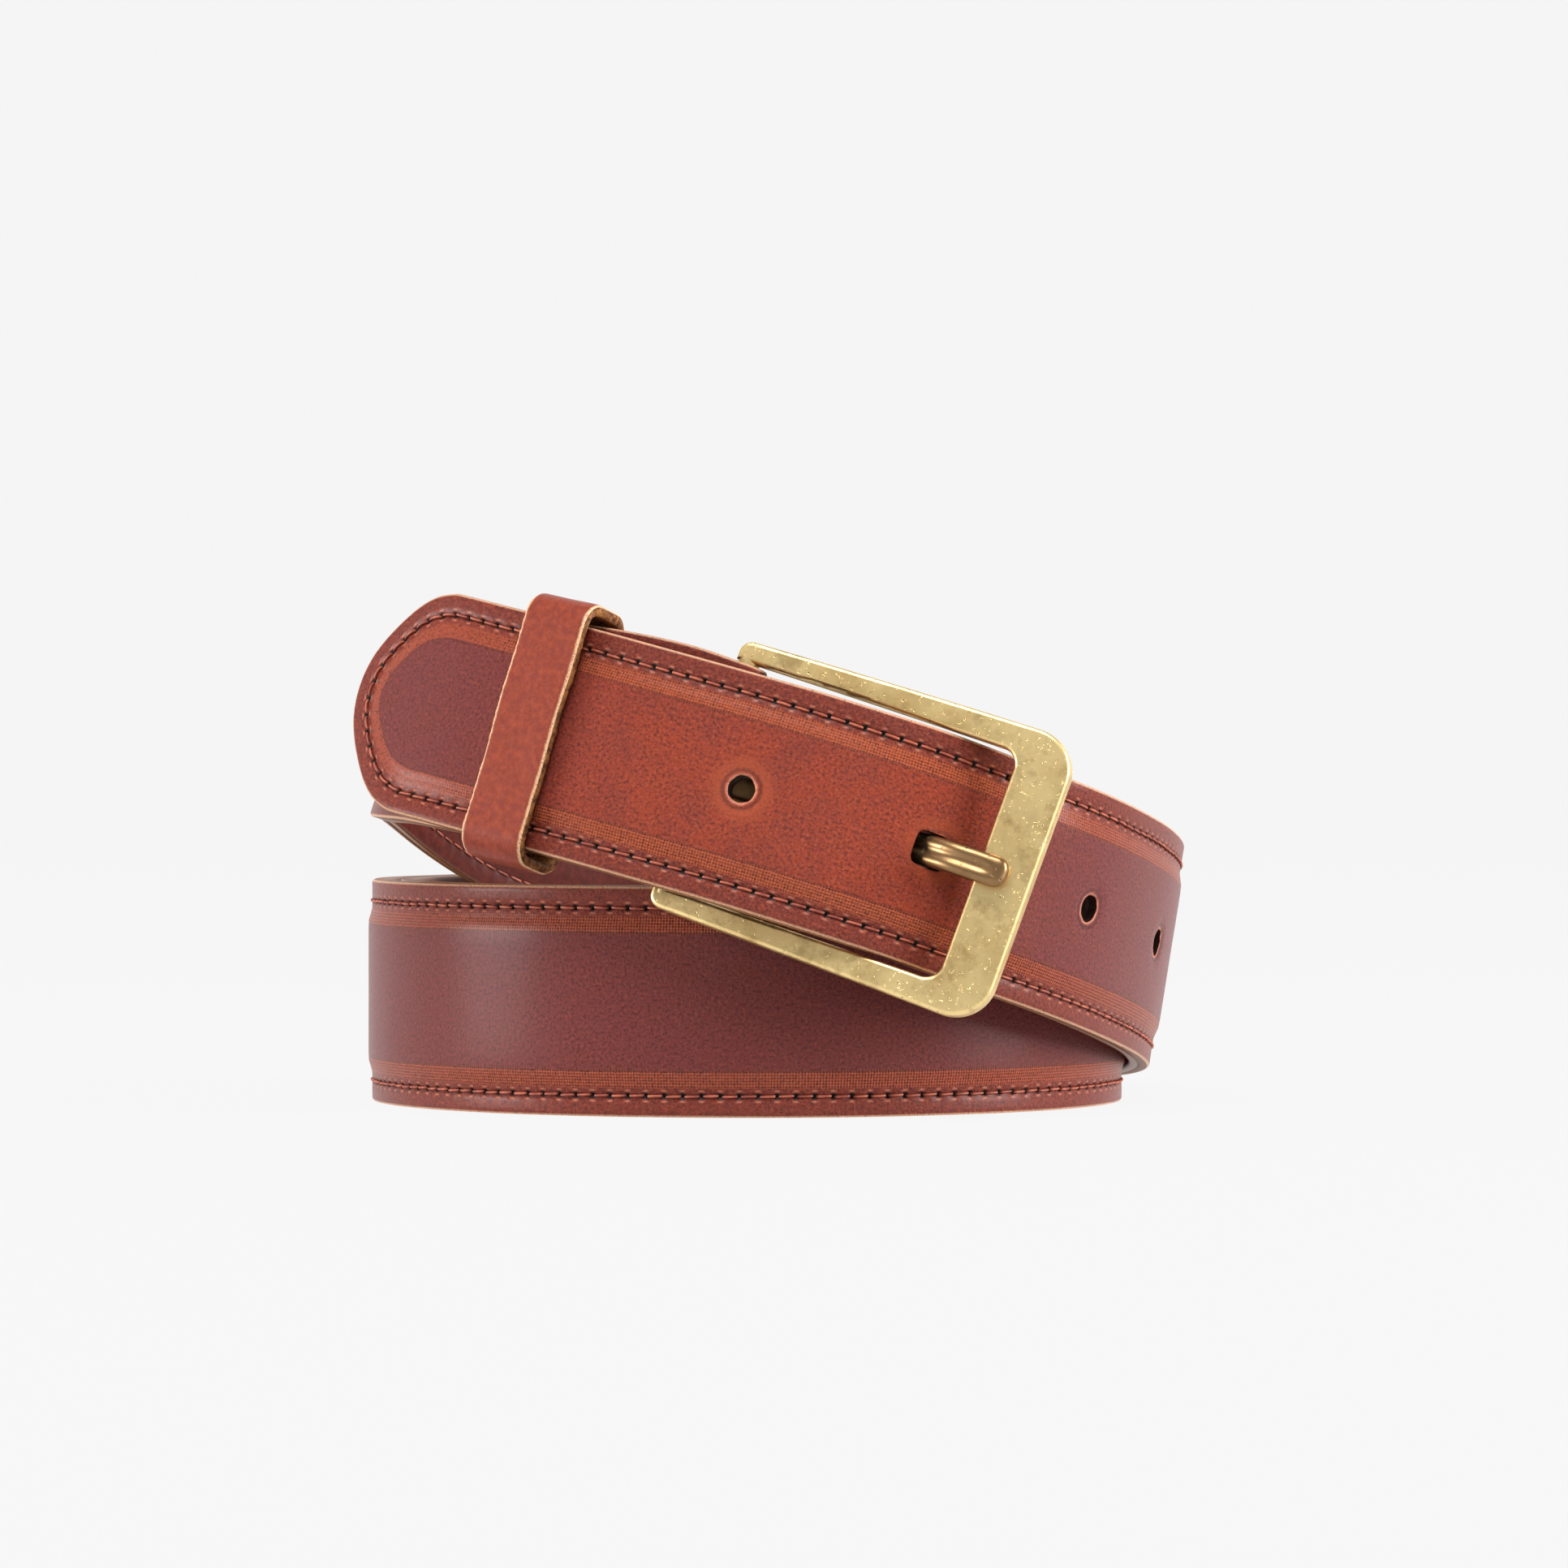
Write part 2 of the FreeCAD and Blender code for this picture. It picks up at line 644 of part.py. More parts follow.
def main():
    os.makedirs("parts", exist_ok=True)
    pieces = {
        "strap_outer": trimmed(strap_outer()),
        "strap_filler": trimmed(strap_filler()),
        "strap_lining": trimmed(strap_lining()),
        "top_thread": thread_rows(TIP_TAPER + 4, HEEL - 9.0, GRAIN_BACK + GRAIN_THICK + THREAD_GAP),
        "bobbin_thread": thread_rows(
            TIP_TAPER + 4, HEEL - FLAP_LENGTH - 2.0, LINING_BACK - THREAD_GAP - THREAD_DEEP
        ),
        "fold_stitching": fold_stitching(),
        "buckle_frame": buckle_frame(),
        "prong": prong(),
        "keeper_loop": keeper_loop(),
        "keeper_staples": keeper_staples(),
    }
    for name, shape in pieces.items():
        save(name, shape)


if __name__ == "__main__":
    main()
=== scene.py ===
import math

import bmesh
import bpy
import numpy as np
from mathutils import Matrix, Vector


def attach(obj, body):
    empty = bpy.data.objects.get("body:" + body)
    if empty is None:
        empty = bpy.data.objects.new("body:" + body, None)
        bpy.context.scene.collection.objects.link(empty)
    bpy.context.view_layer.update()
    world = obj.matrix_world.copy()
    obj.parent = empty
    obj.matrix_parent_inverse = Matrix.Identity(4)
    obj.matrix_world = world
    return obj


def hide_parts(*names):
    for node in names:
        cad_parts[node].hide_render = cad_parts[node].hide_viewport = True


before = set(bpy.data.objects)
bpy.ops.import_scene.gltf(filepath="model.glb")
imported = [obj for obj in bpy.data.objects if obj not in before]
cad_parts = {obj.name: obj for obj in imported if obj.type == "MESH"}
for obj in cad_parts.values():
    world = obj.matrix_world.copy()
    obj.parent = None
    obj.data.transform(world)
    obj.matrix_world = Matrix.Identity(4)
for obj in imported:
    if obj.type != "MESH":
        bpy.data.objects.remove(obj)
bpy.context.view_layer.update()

# A gentleman's leather belt, buckled and coiled. Lengths are millimetres until a mesh is made.
MM = 0.001
JOIN_WITHIN = 0.002
RANDOM = np.random.default_rng(35)

# ---- The strap's layers and edge, as in the CAD model ----
HALF_WIDTH = 17.5
GRAIN_THICK = 1.8
SKIVED_THICK = 1.5
LINING_THICK = 1.5
FILLER_THICK = 0.6
GLUE_GAP = 0.05
LINING_BACK = -1.85
GRAIN_BACK = LINING_BACK + LINING_THICK + GLUE_GAP
FOLD_NARROWING = 0.2
BAR_RADIUS = 1.75
BAR_DEPTH = BAR_RADIUS + 0.1 - GRAIN_BACK
FLAP_LENGTH = 17.0
FLAP_SETTLE = 10.0
FLAP_GAP = 0.12
LINING_STOP = 5.0
COIL_CENTRE = (0.8, 59.5)
COIL_RADIUS = 59.0
COIL_PITCH = 4.4
GROUND_TRIM = 0.1
LEVEL_HEIGHT = HALF_WIDTH - GROUND_TRIM
LEVEL_TURNS = range(225, 796, 30)
FOOTPRINT_MIDDLE = (3.604, 52.761, 0.0)
ROUTE_POINTS = 6000

# x, y, z of the middle line, then how far the strap's upper edge leans right and back
TIP_STATIONS = [
    (-59.2, 28.0, 65.0, 17.0, 4.0),
    (-46.5, 14.2, 61.9, 17.0, 5.0),
    (-32.0, 4.6, 58.1, 17.0, 5.5),
    (-16.5, -3.3, 53.9, 17.0, 6.0),
    (1.0, -8.6, 49.0, 17.0, 6.5),
    (22.0, -10.4, 42.5, 17.0, 6.5),
    (43.0, -1.2, 34.7, 16.0, 6.0),
    (58.2, 23.0, 28.0, 12.0, 4.0),
    (64.5, 55.0, 22.8, 9.0, 2.0),
    (49.0, 101.0, 18.8, 4.0, 0.0),
    (0.8, 120.6, 17.5, 0.0, 0.0),
]
BUCKLE_END_STATIONS = [
    (50.6, 69.5, 18.2, 4.0, 0.0),
    (33.5, 91.5, 24.0, 12.0, 0.0),
    (-1.0, 105.0, 35.5, 16.0, 1.0),
    (-34.0, 85.0, 47.8, 15.5, 3.0),
    (-52.4, 47.4, 61.3, 18.0, 4.0),
    (-48.7, 27.6, 61.2, 17.5, 4.5),
    (-39.5, 15.0, 59.8, 17.0, 5.0),
    (-29.5, 8.1, 57.8, 17.0, 5.5),
    (-13.5, 0.5, 54.8, 17.5, 6.0),
    (-6.3, -1.9, 52.4, 18.5, 6.0),
]

# ---- The tip's outline, the stitching and the holes ----
NOSE_RADIUS = 13.0
NOSE_HALF_ANGLE = math.radians(50.0)
TIP_TAPER = 14.0
STITCH_INSET = 3.3
STITCH_PITCH = 2.8
BORDER = 7.5
STRAIGHTEN = 30.0
HOLE_RADIUS = 2.1
HOLE_SIDES = 40
HOLE_PLACES = [72.2 + 30.0 * number for number in range(5)]
PRONG_HOLE = 1
THREAD_RADIUS = 0.19
FAR_FROM_HOLE = 99.0
FAR_FROM_NEEDLE = 1.4
# What the wall of a cut carries: a kind of 2 gives it painted shade, and it is far from every edge and
# hole
CUT_WALL = {"plan": (0.0, 0.0), "edge": (9.0, FAR_FROM_NEEDLE), "kind": (2.0, 30.0)}
# Where, before the heel, the grain thins for the fold, the padding ends and each seam stops
SKIVE_FROM = 20.0
PADDING_STOP = 8.0
FADE_LENGTH = 16.0
TOP_SEAM_STOP = 9.0
BACK_SEAM_STOP = 19.0
# Where, in from the edge, the padding starts to rise, how wide its slope is and the crease on it
PADDING_FOOT = 4.3
PADDING_SLOPE = 2.6
CREASE_INSET = 7.1


# ---------------------------------------------------------------- the strap's route
def level_stations():
    """The turns that stand on the floor, an even spiral that winds inward."""
    stations = []
    for turn in LEVEL_TURNS:
        radius = COIL_RADIUS - COIL_PITCH * (turn - 270) / 360
        angle = math.radians(turn)
        x = COIL_CENTRE[0] + radius * math.sin(angle)
        y = COIL_CENTRE[1] - radius * math.cos(angle)
        stations.append((x, y, LEVEL_HEIGHT, 0.0, 0.0))
    return stations


def smooth_slopes(knots, values):
    """Slopes of the natural cubic spline through values."""
    count = len(knots)
    steps = np.diff(knots)
    rises = np.diff(values) / steps
    matrix = np.zeros((count, count))
    right = np.zeros(count)
    matrix[0, :2] = 2.0, 1.0
    matrix[-1, -2:] = 1.0, 2.0
    right[0], right[-1] = 3 * rises[0], 3 * rises[-1]
    for i in range(1, count - 1):
        both = steps[i - 1] + steps[i]
        before, after = steps[i] / both, steps[i - 1] / both
        matrix[i, i - 1 : i + 2] = before, 2.0, after
        right[i] = 3 * (before * rises[i - 1] + after * rises[i])
    return np.linalg.solve(matrix, right)


def steady_slopes(knots, values):
    """Slopes that never overshoot, so that a level stretch stays level."""
    steps = np.diff(knots)
    rises = np.diff(values) / steps
    slopes = [rises[0]]
    for i in range(1, len(values) - 1):
        before, after = rises[i - 1], rises[i]
        near, far = 2 * steps[i] + steps[i - 1], steps[i] + 2 * steps[i - 1]
        level = before * after <= 0
        slopes.append(0.0 if level else (near + far) / (near / before + far / after))
    slopes.append(rises[-1])
    return np.array(slopes)


def hermite(knots, values, slopes, at):
    """The cubic through values with those slopes, at many places."""
    i = np.clip(np.searchsorted(knots, at) - 1, 0, len(knots) - 2)
    step = knots[i + 1] - knots[i]
    t = (at - knots[i]) / step
    near = (1 + 2 * t) * (1 - t) ** 2 * values[i] + t * t * (3 - 2 * t) * values[i + 1]
    return near + step * (t * (1 - t) ** 2 * slopes[i] - t * t * (1 - t) * slopes[i + 1])


def unit(vectors):
    return vectors / np.linalg.norm(vectors, axis=-1, keepdims=True)


class Route:
    """The strap's middle line as a fine table of points and directions."""

    def __init__(self, stations):
        stations = np.array(stations)
        lengths = np.linalg.norm(np.diff(stations[:, :3], axis=0), axis=1)
        knots = np.concatenate([[0.0], np.cumsum(lengths)])
        at = np.linspace(0.0, knots[-1], ROUTE_POINTS)
        columns = []
        for column in range(5):
            values = stations[:, column]
            slopes = smooth_slopes if column < 2 else steady_slopes
            columns.append(hermite(knots, values, slopes(knots, values), at))
        self.points = np.stack(columns[:3], axis=1)
        along = unit(np.gradient(self.points, axis=0))
        tilt, lean = np.radians(columns[3]), np.radians(columns[4])
        level = np.cos(lean)
        up = np.stack([np.sin(tilt) * level, np.sin(lean), np.cos(tilt) * level], axis=1)
        self.along = along
        self.across = unit(up - along * np.sum(up * along, axis=1, keepdims=True))
        self.out = np.cross(self.along, self.across)
        steps = np.linalg.norm(np.diff(self.points, axis=0), axis=1)
        self.distances = np.concatenate([[0.0], np.cumsum(steps)])
        self.length = self.distances[-1]
        self.points = self.points - np.array(FOOTPRINT_MIDDLE)

    def look_up(self, table, distance):
        return np.stack([np.interp(distance, self.distances, table[:, k]) for k in range(3)], axis=-1)

    def at(self, distance):
        """Point, across and out at many distances."""
        found = [self.look_up(table, distance) for table in (self.points, self.across, self.out)]
        return found[0], unit(found[1]), unit(found[2])


ROUTE = Route(TIP_STATIONS + level_stations() + BUCKLE_END_STATIONS)
HEEL = ROUTE.length
FOLD_LENGTH = math.pi * BAR_DEPTH


def ease(value):
    value = np.clip(value, 0.0, 1.0)
    return value * value * (3 - 2 * value)


def strap_surface(place, across_by, height):
    """Points at distances along the strap, round its fold and back along the flap."""
    place, across_by, height = np.broadcast_arrays(place, across_by, height)
    point, across, out = ROUTE.at(place)
    heel_point, heel_across, heel_out = ROUTE.at(np.array([HEEL]))
    along = np.cross(heel_across, heel_out)
    angle = np.clip((place - HEEL) / BAR_DEPTH, 0, math.pi)[..., None]
    turned = heel_out * np.cos(angle) + along * np.sin(angle)
    in_fold = (place > HEEL)[..., None]
    point = np.where(in_fold, heel_point - heel_out * BAR_DEPTH + turned * BAR_DEPTH, point)
    across = np.where(in_fold, heel_across, across)
    facing = np.where(in_fold, turned, out)
    back = place - HEEL - FOLD_LENGTH
    flap_point, flap_across, flap_out = ROUTE.at(HEEL - np.clip(back, 0, None))
    settle = ease(back / FLAP_SETTLE)
    depth = (1 - settle) * (-2 * BAR_DEPTH) + settle * (LINING_BACK - FLAP_GAP + GRAIN_BACK)
    in_flap = (back > 0)[..., None]
    point = np.where(in_flap, flap_point + flap_out * depth[..., None], point)
    across = np.where(in_flap, flap_across, across)
    facing = np.where(in_flap, -flap_out, facing)
    narrow = 1 - FOLD_NARROWING / HALF_WIDTH * ease((place - HEEL + SKIVE_FROM) / FADE_LENGTH)
    return point + across * (across_by * narrow)[..., None] + facing * height[..., None]


# ------------------------------------------------------- flat plan of the strap's tip
def tip_plan():
    """Ends of the nose arc and the taper, on the edge and on the border's inner line."""
    sine, cosine = math.sin(NOSE_HALF_ANGLE), math.cos(NOSE_HALF_ANGLE)
    start = np.array([NOSE_RADIUS * (1 - cosine), NOSE_RADIUS * sine])
    corner = np.array([TIP_TAPER, HALF_WIDTH])
    direction = (corner - start) / np.linalg.norm(corner - start)
    inward = np.array([direction[1], -direction[0]])
    inner_radius = NOSE_RADIUS - BORDER
    inner_start = np.array([NOSE_RADIUS - inner_radius * cosine, inner_radius * sine])
    on_line = start + inward * BORDER
    run = (HALF_WIDTH - BORDER - on_line[1]) / direction[1]
    inner_corner = on_line + direction * run
    return start, corner, inner_start, inner_corner


START, CORNER, INNER_START, INNER_CORNER = tip_plan()
STITCH_SHARE = STITCH_INSET / BORDER
NOSE_RUN = (NOSE_RADIUS - STITCH_INSET) * NOSE_HALF_ANGLE
STITCH_START = START + (INNER_START - START) * STITCH_SHARE
STITCH_CORNER = CORNER + (INNER_CORNER - CORNER) * STITCH_SHARE
TAPER_RUN = float(np.linalg.norm(STITCH_CORNER - STITCH_START))
TAPER_OUTWARD = np.array([START[1] - CORNER[1], CORNER[0] - START[0]]) / math.dist(START, CORNER)
TAPER_BOW = 0.95
CORNER_ROUND = 3.0


def border_lines(run):
    """Edge point and border's inner point along the stitching, with the corners rounded off."""
    run = np.asarray(run, dtype=float)
    reach = CORNER_ROUND * np.clip(1 - (run - NOSE_RUN - TAPER_RUN) / 8.0, 0, 1)
    shares = np.linspace(-1, 1, 9)
    pairs = [sharp_lines(run + reach * share) for share in shares]
    edge = sum(pair[0] for pair in pairs) / len(shares)
    inner = sum(pair[1] for pair in pairs) / len(shares)
    return edge, inner


def sharp_lines(run):
    """The same lines with sharp corners; a negative run is on the other side of the nose."""
    side = np.where(run < 0, -1.0, 1.0)
    run = np.abs(run)
    angle = np.clip(run / NOSE_RUN, 0, 1) * NOSE_HALF_ANGLE
    inner_radius = NOSE_RADIUS - BORDER
    bend = np.stack([1 - np.cos(angle), np.sin(angle)], axis=-1)
    edge = bend * NOSE_RADIUS
    inner = np.stack([NOSE_RADIUS - inner_radius * np.cos(angle), inner_radius * np.sin(angle)], axis=-1)
    share = np.clip((run - NOSE_RUN) / TAPER_RUN, 0, 1)[..., None]
    in_taper = (run > NOSE_RUN)[..., None]
    bow = TAPER_OUTWARD * TAPER_BOW * np.sin(math.pi * share)
    edge = np.where(in_taper, START + (CORNER - START) * share + bow, edge)
    inner = np.where(in_taper, INNER_START + (INNER_CORNER - INNER_START) * share + bow, inner)
    past = run - NOSE_RUN - TAPER_RUN
    fade = np.clip(1 - past / STRAIGHTEN, 0, 1)
    straight = STITCH_CORNER[0] + past
    in_body = (past > 0)[..., None]
    edge_place = straight - (STITCH_CORNER[0] - CORNER[0]) * fade
    inner_place = straight + (INNER_CORNER[0] - STITCH_CORNER[0]) * fade
    body_edge = np.stack([edge_place, past * 0 + HALF_WIDTH], axis=-1)
    body_inner = np.stack([inner_place, past * 0 + HALF_WIDTH - BORDER], axis=-1)
    flip = np.stack([side * side, side], axis=-1)
    return np.where(in_body, body_edge, edge) * flip, np.where(in_body, body_inner, inner) * flip


def run_of(place):
    """How far along the stitching a distance along the strap is."""
    return place - STITCH_CORNER[0] + NOSE_RUN + TAPER_RUN


def border_point(run, inset, side):
    """Distance along the strap, and across it, of a point in the border."""
    edge, inner = border_lines(run)
    spot = edge + (inner - edge) * (np.asarray(inset) / BORDER)[..., None]
    return spot[..., 0], spot[..., 1] * side


# ------------------------------------------------------------------- mesh helpers
def layered_mesh(name, points, faces, layers):
    """A mesh from millimetre points. Layers are pairs of numbers kept per point."""
    mesh = bpy.data.meshes.new(name)
    mesh.from_pydata((np.asarray(points) * MM).tolist(), [], faces)
    loops = np.zeros(len(mesh.loops), dtype=np.int32)
    mesh.loops.foreach_get("vertex_index", loops)
    for layer, values in layers.items():
        values = np.asarray(values, dtype=np.float32)[loops]
        mesh.uv_layers.new(name=layer).data.foreach_set("uv", values.ravel())
    return mesh


def make_piece(name, points, faces, layers, material, body, replaced=()):
    """A named smooth piece that rides on a body."""
    mesh = layered_mesh(name, points, faces, layers)
    mesh.polygons.foreach_set("use_smooth", [True] * len(mesh.polygons))
    mesh.materials.append(material)
    piece = bpy.data.objects.new(name, mesh)
    bpy.context.scene.collection.objects.link(piece)
    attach(piece, body)
    for node in replaced:
        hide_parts(node)
    return piece


def per_point(first, second):
    """Two numbers for each point of a grid, in the order of its points."""
    return np.stack(np.broadcast_arrays(first, second), axis=-1).reshape(-1, 2)


def clean(piece):
    """Joins points that fall together and makes every face look outward."""
    work = bmesh.new()
    work.from_mesh(piece.data)
    bmesh.ops.remove_doubles(work, verts=work.verts, dist=JOIN_WITHIN * MM)
    bmesh.ops.dissolve_degenerate(work, edges=work.edges, dist=JOIN_WITHIN * MM * 0.1)
    bmesh.ops.recalc_face_normals(work, faces=work.faces)
    work.to_mesh(piece.data)
    work.free()
    return piece


def tube_faces(rows, columns, first=0, start_cap=True):
    """Faces of a tube through rings of points, with a flat face on its ends."""
    faces = []
    for row in range(rows - 1):
        a, b = first + row * columns, first + (row + 1) * columns
        for column in range(columns):
            turn = (column + 1) % columns
            faces.append((a + column, a + turn, b + turn, b + column))
    if start_cap:
        faces.append(tuple(first + column for column in range(columns))[::-1])
    faces.append(tuple(first + (rows - 1) * columns + column for column in range(columns)))
    return faces


def waves(place, across, seed, scales, amount):
    """Smooth unevenness along and across the strap, the same each run."""
    random = np.random.default_rng(seed)
    total = np.zeros(np.broadcast(place, across).shape)
    for scale in scales:
        for _ in range(5):
            angle = random.uniform(0, math.pi)
            size = scale * random.uniform(0.7, 1.4)
            phase = random.uniform(0, 2 * math.pi)
            run = place * math.cos(angle) + across * math.sin(angle)
            total = total + np.sin(run * 2 * math.pi / size + phase) * scale / scales[0]
    return total * amount / (3 * len(scales))


def bell(distance, width):
    return np.exp(-((distance / width) ** 2))


def cut(piece, cutters):
    """Cuts the cutters out of a piece, then removes them."""
    for cutter in cutters:
        change = piece.modifiers.new("cut", "BOOLEAN")
        change.operation = "DIFFERENCE"
        change.solver = "EXACT"
        change.object = cutter
    bpy.context.view_layer.update()
    graph = bpy.context.evaluated_depsgraph_get()
    ready = piece.evaluated_get(graph)
    mesh = bpy.data.meshes.new_from_object(ready, preserve_all_data_layers=True, depsgraph=graph)
    piece.modifiers.clear()
    piece.data = mesh
    for cutter in cutters:
        bpy.data.objects.remove(cutter)


def make_cutter(rings):
    """A closed solid through equal rings of millimetre points, its walls marked as cut leather that
    carries painted shade.
    """
    rings = np.asarray(rings)
    points = rings.reshape(-1, 3)
    layers = {layer: np.tile(values, (len(points), 1)) for layer, values in CUT_WALL.items()}
    mesh = layered_mesh("cutter", points, tube_faces(rings.shape[0], rings.shape[1]), layers)
    work = bmesh.new()
    work.from_mesh(mesh)
    bmesh.ops.recalc_face_normals(work, faces=work.faces)
    work.to_mesh(mesh)
    work.free()
    cutter = bpy.data.objects.new("cutter", mesh)
    bpy.context.scene.collection.objects.link(cutter)
    return cutter


# --------------------------------------------------------------------- the strap
GRAIN_INSETS = [0.0, 0.12, 0.45, 1.0, 2.0, 2.8, 3.1, 3.3, 3.5, 3.8, 4.6, 5.5, 6.4, 7.0, BORDER]
LINING_INSETS = [0.0, 0.15, 0.5, 1.5, 2.8, 3.1, 3.3, 3.5, 3.8, BORDER]
CENTRE_SHARES = [0.82, 0.64, 0.5, 0.4, 0.32, 0.24, 0.12, 0.0]
LINING_SHARES = [0.5, 0.0]
BACK_SHARES = [0.4, 0.0]
STITCH_STEPS = [-0.4, 0.0, 0.4, 1.4]
EDGE_RADIUS = 0.5


def stitch_runs(end, steps):
    """Rows of points placed by the stitches: at each needle hole, beside it, and between."""
    count = int(end / STITCH_PITCH)
    runs = [0.0] + [(i + 0.5) * STITCH_PITCH + step for i in range(count) for step in steps]
    return np.array([run for run in runs if run < end - 0.3] + [end])


def from_needle(run):
    """How far a run is from the nearest needle hole."""
    return np.abs(run % STITCH_PITCH - STITCH_PITCH / 2)


def half_section(runs, insets, shares, side):
    """Place, across, inset for one half of the strap, from its edge to the middle line."""
    columns = [(*border_point(runs, np.full(len(runs), inset), side), inset) for inset in insets]
    place, across, _ = columns[-1]
    for share in shares:
        columns.append((place, across * share, BORDER + np.abs(across) * (1 - share)))
    return [np.stack([column[k] + 0 * runs for column in columns], axis=1) for k in range(3)]


def layer_plan(runs, insets, shares):
    """The whole width of the strap: one edge, the middle line, the other edge."""
    left = half_section(runs, insets, shares, -1)
    right = half_section(runs, insets, shares[:-1], 1)
    return [np.concatenate([a, b[:, ::-1]], axis=1) for a, b in zip(left, right)]


def near_hole(place, across):
    """How far a spot is from the middle of the nearest punched hole."""
    distance = np.full(np.broadcast(place, across).shape, FAR_FROM_HOLE)
    for hole in HOLE_PLACES:
        distance = np.minimum(distance, np.hypot(place - hole, across))
    return distance


def padding_at(place, inset):
    """How far the filler raises the leather."""
    along = ease((HEEL - PADDING_STOP - place) / FADE_LENGTH)
    return FILLER_THICK * along * ease((inset - PADDING_FOOT) / PADDING_SLOPE)


def thickness_at(place):
    """The grain leather's thickness, which is skived thinner toward the fold."""
    skived = ease((place - HEEL + SKIVE_FROM) / FADE_LENGTH)
    return GRAIN_THICK - (GRAIN_THICK - SKIVED_THICK) * skived


def rounded(inset, radius):
    """How far a rounded edge falls below its face."""
    near = np.clip(1 - inset / radius, 0, 1)
    return radius * (1 - np.sqrt(1 - near**2))


def grain_height(place, across, inset, run):
    """Height of the grain face: padded middle, stitch groove, needle holes and wear."""
    rise = padding_at(place, inset)
    height = GRAIN_BACK + thickness_at(place) + rise - rounded(inset, EDGE_RADIUS)
    sewn = (place > 0.0) & (place < HEEL - TOP_SEAM_STOP)
    line = inset - STITCH_INSET
    off = from_needle(run)
    groove = 0.10 * bell(line, 0.35) + 0.6 * bell(line, 0.4) * bell(off, 0.45)
    height = height - groove * sewn
    height = height - 0.05 * bell(inset - CREASE_INSET, 0.35)
    from_hole = near_hole(place, across)
    dish = bell(np.maximum(from_hole - HOLE_RADIUS, 0), 1.1) * (from_hole < 6)
    height = height - 0.34 * dish
    inside = np.clip(inset / 2.0, 0, 1)
    return height + waves(place, across, 4, [23.0, 9.0, 4.0], 0.07) * inside


def round_section(face, back):
    """Columns across the face, then back along the reverse."""
    return np.concatenate([face, back[:, ::-1]], axis=1)


def layer_mesh(name, runs, columns, face_height, back_height, back_insets, material, node):
    """A closed layer of the strap: a detailed face, square walls and a plain back."""
    face_plan = layer_plan(runs, *columns)
    back_plan = layer_plan(runs, back_insets, BACK_SHARES)
    face_place, face_across, face_inset = face_plan
    back_place, back_across, back_inset = back_plan
    rows = runs[:, None]
    wobble = waves(rows, face_across * 0, 9, [37.0, 13.0], 0.06)
    outward = np.clip(1 - face_inset / 3, 0, 1) * np.sign(face_across)
    height = face_height(face_place, face_across, face_inset, rows)
    face = strap_surface(face_place, face_across + wobble * outward, height)
    back = strap_surface(back_place, back_across, back_height(back_place, back_inset))
    points = round_section(face, back)
    place, across, inset = [round_section(*both) for both in zip(face_plan, back_plan)]
    raw = round_section(face_inset < 0.05, np.ones_like(back_inset))
    layers = {
        "plan": per_point(place, across),
        "edge": per_point(inset, from_needle(rows)),
        "kind": per_point(raw, near_hole(place, across)),
    }
    faces = tube_faces(len(runs), points.shape[1], start_cap=False)
    return make_piece(name, points.reshape(-1, 3), faces, layers, material, "strap", [node])


def strap_spot(place, across, height):
    """One point of the strap, with its along, across and out directions."""
    place = np.array([place])
    spot = strap_surface(place, np.array([across]), np.array([height]))[0]
    ahead = strap_surface(place + 0.2, np.array([across]), np.array([height]))[0]
    over = strap_surface(place, np.array([across + 0.2]), np.array([height]))[0]
    along, sideways = unit(ahead - spot), unit(over - spot)
    return spot, along, sideways, unit(np.cross(along, sideways))


def hole_cutter(place):
    """A slightly uneven punched hole through both layers."""
    spot, along, sideways, out = strap_spot(place, 0.0, 0.0)
    rings = []
    for height in (-4.0, 0.5, 1.6, 4.0):
        ring = []
        for i in range(HOLE_SIDES):
            angle = 2 * math.pi * i / HOLE_SIDES
            uneven = HOLE_RADIUS * (1 + 0.02 * math.sin(3 * angle + place) + 0.015 * math.sin(7 * angle))
            outward = along * math.cos(angle) + sideways * math.sin(angle)
            ring.append(spot + outward * uneven + out * height)
        rings.append(ring)
    return make_cutter(rings)


def slot_cutter():
    """The slot in the fold for the prong's eye."""
    rings = []
    for u in np.linspace(-FOLD_SLOT_BACK, 8.0, 6):
        ring = []
        for v, d in ((-1, -9.0), (1, -9.0), (1, 4.0), (-1, 4.0)):
            ring.append(on_buckle(u, v * FOLD_SLOT_HALF, d))
        rings.append(ring)
    return make_cutter(rings)


# -------------------------------------------------------------- buckle and prong
FRAME_SWING = math.radians(-1.9)
FRAME_DROP = 0.4
FOLD_SLOT_HALF = 2.8
FOLD_SLOT_BACK = 9.0
PRONG_HALF_WIDE = 2.4
PRONG_HALF_THICK = 1.4
CURL_HALF_THICK = 0.7
PRONG_ROOM = 0.3
PRONG_LIFT_MOST = math.radians(2.5)
# Distance from the heel bar, then height above the bar's middle
PRONG_LINE = [
    (2.0, 0.0),
    (10.0, -0.4),
    (20.0, -1.2),
    (29.0, -1.8),
    (33.0, -0.9),
    (37.0, 1.4),
    (40.5, 3.0),
    (44.0, 3.4),
    (49.5, 3.4),
]


def buckle_axes():
    point, across, out = [row[0] for row in ROUTE.at(np.array([HEEL]))]
    along = np.cross(across, out)
    reach = along * math.cos(FRAME_SWING) + out * math.sin(FRAME_SWING)
    bar = point - out * BAR_DEPTH - across * FRAME_DROP
    return bar, reach, across, np.cross(reach, across)


def on_buckle(u, v, d):
    """A point of the buckle: out from the heel bar, along the bar, and toward the front."""
    bar, reach, across, front = buckle_axes()
    u, v, d = np.broadcast_arrays(u, v, d)
    return bar + reach * u[..., None] + across * v[..., None] + front * d[..., None]


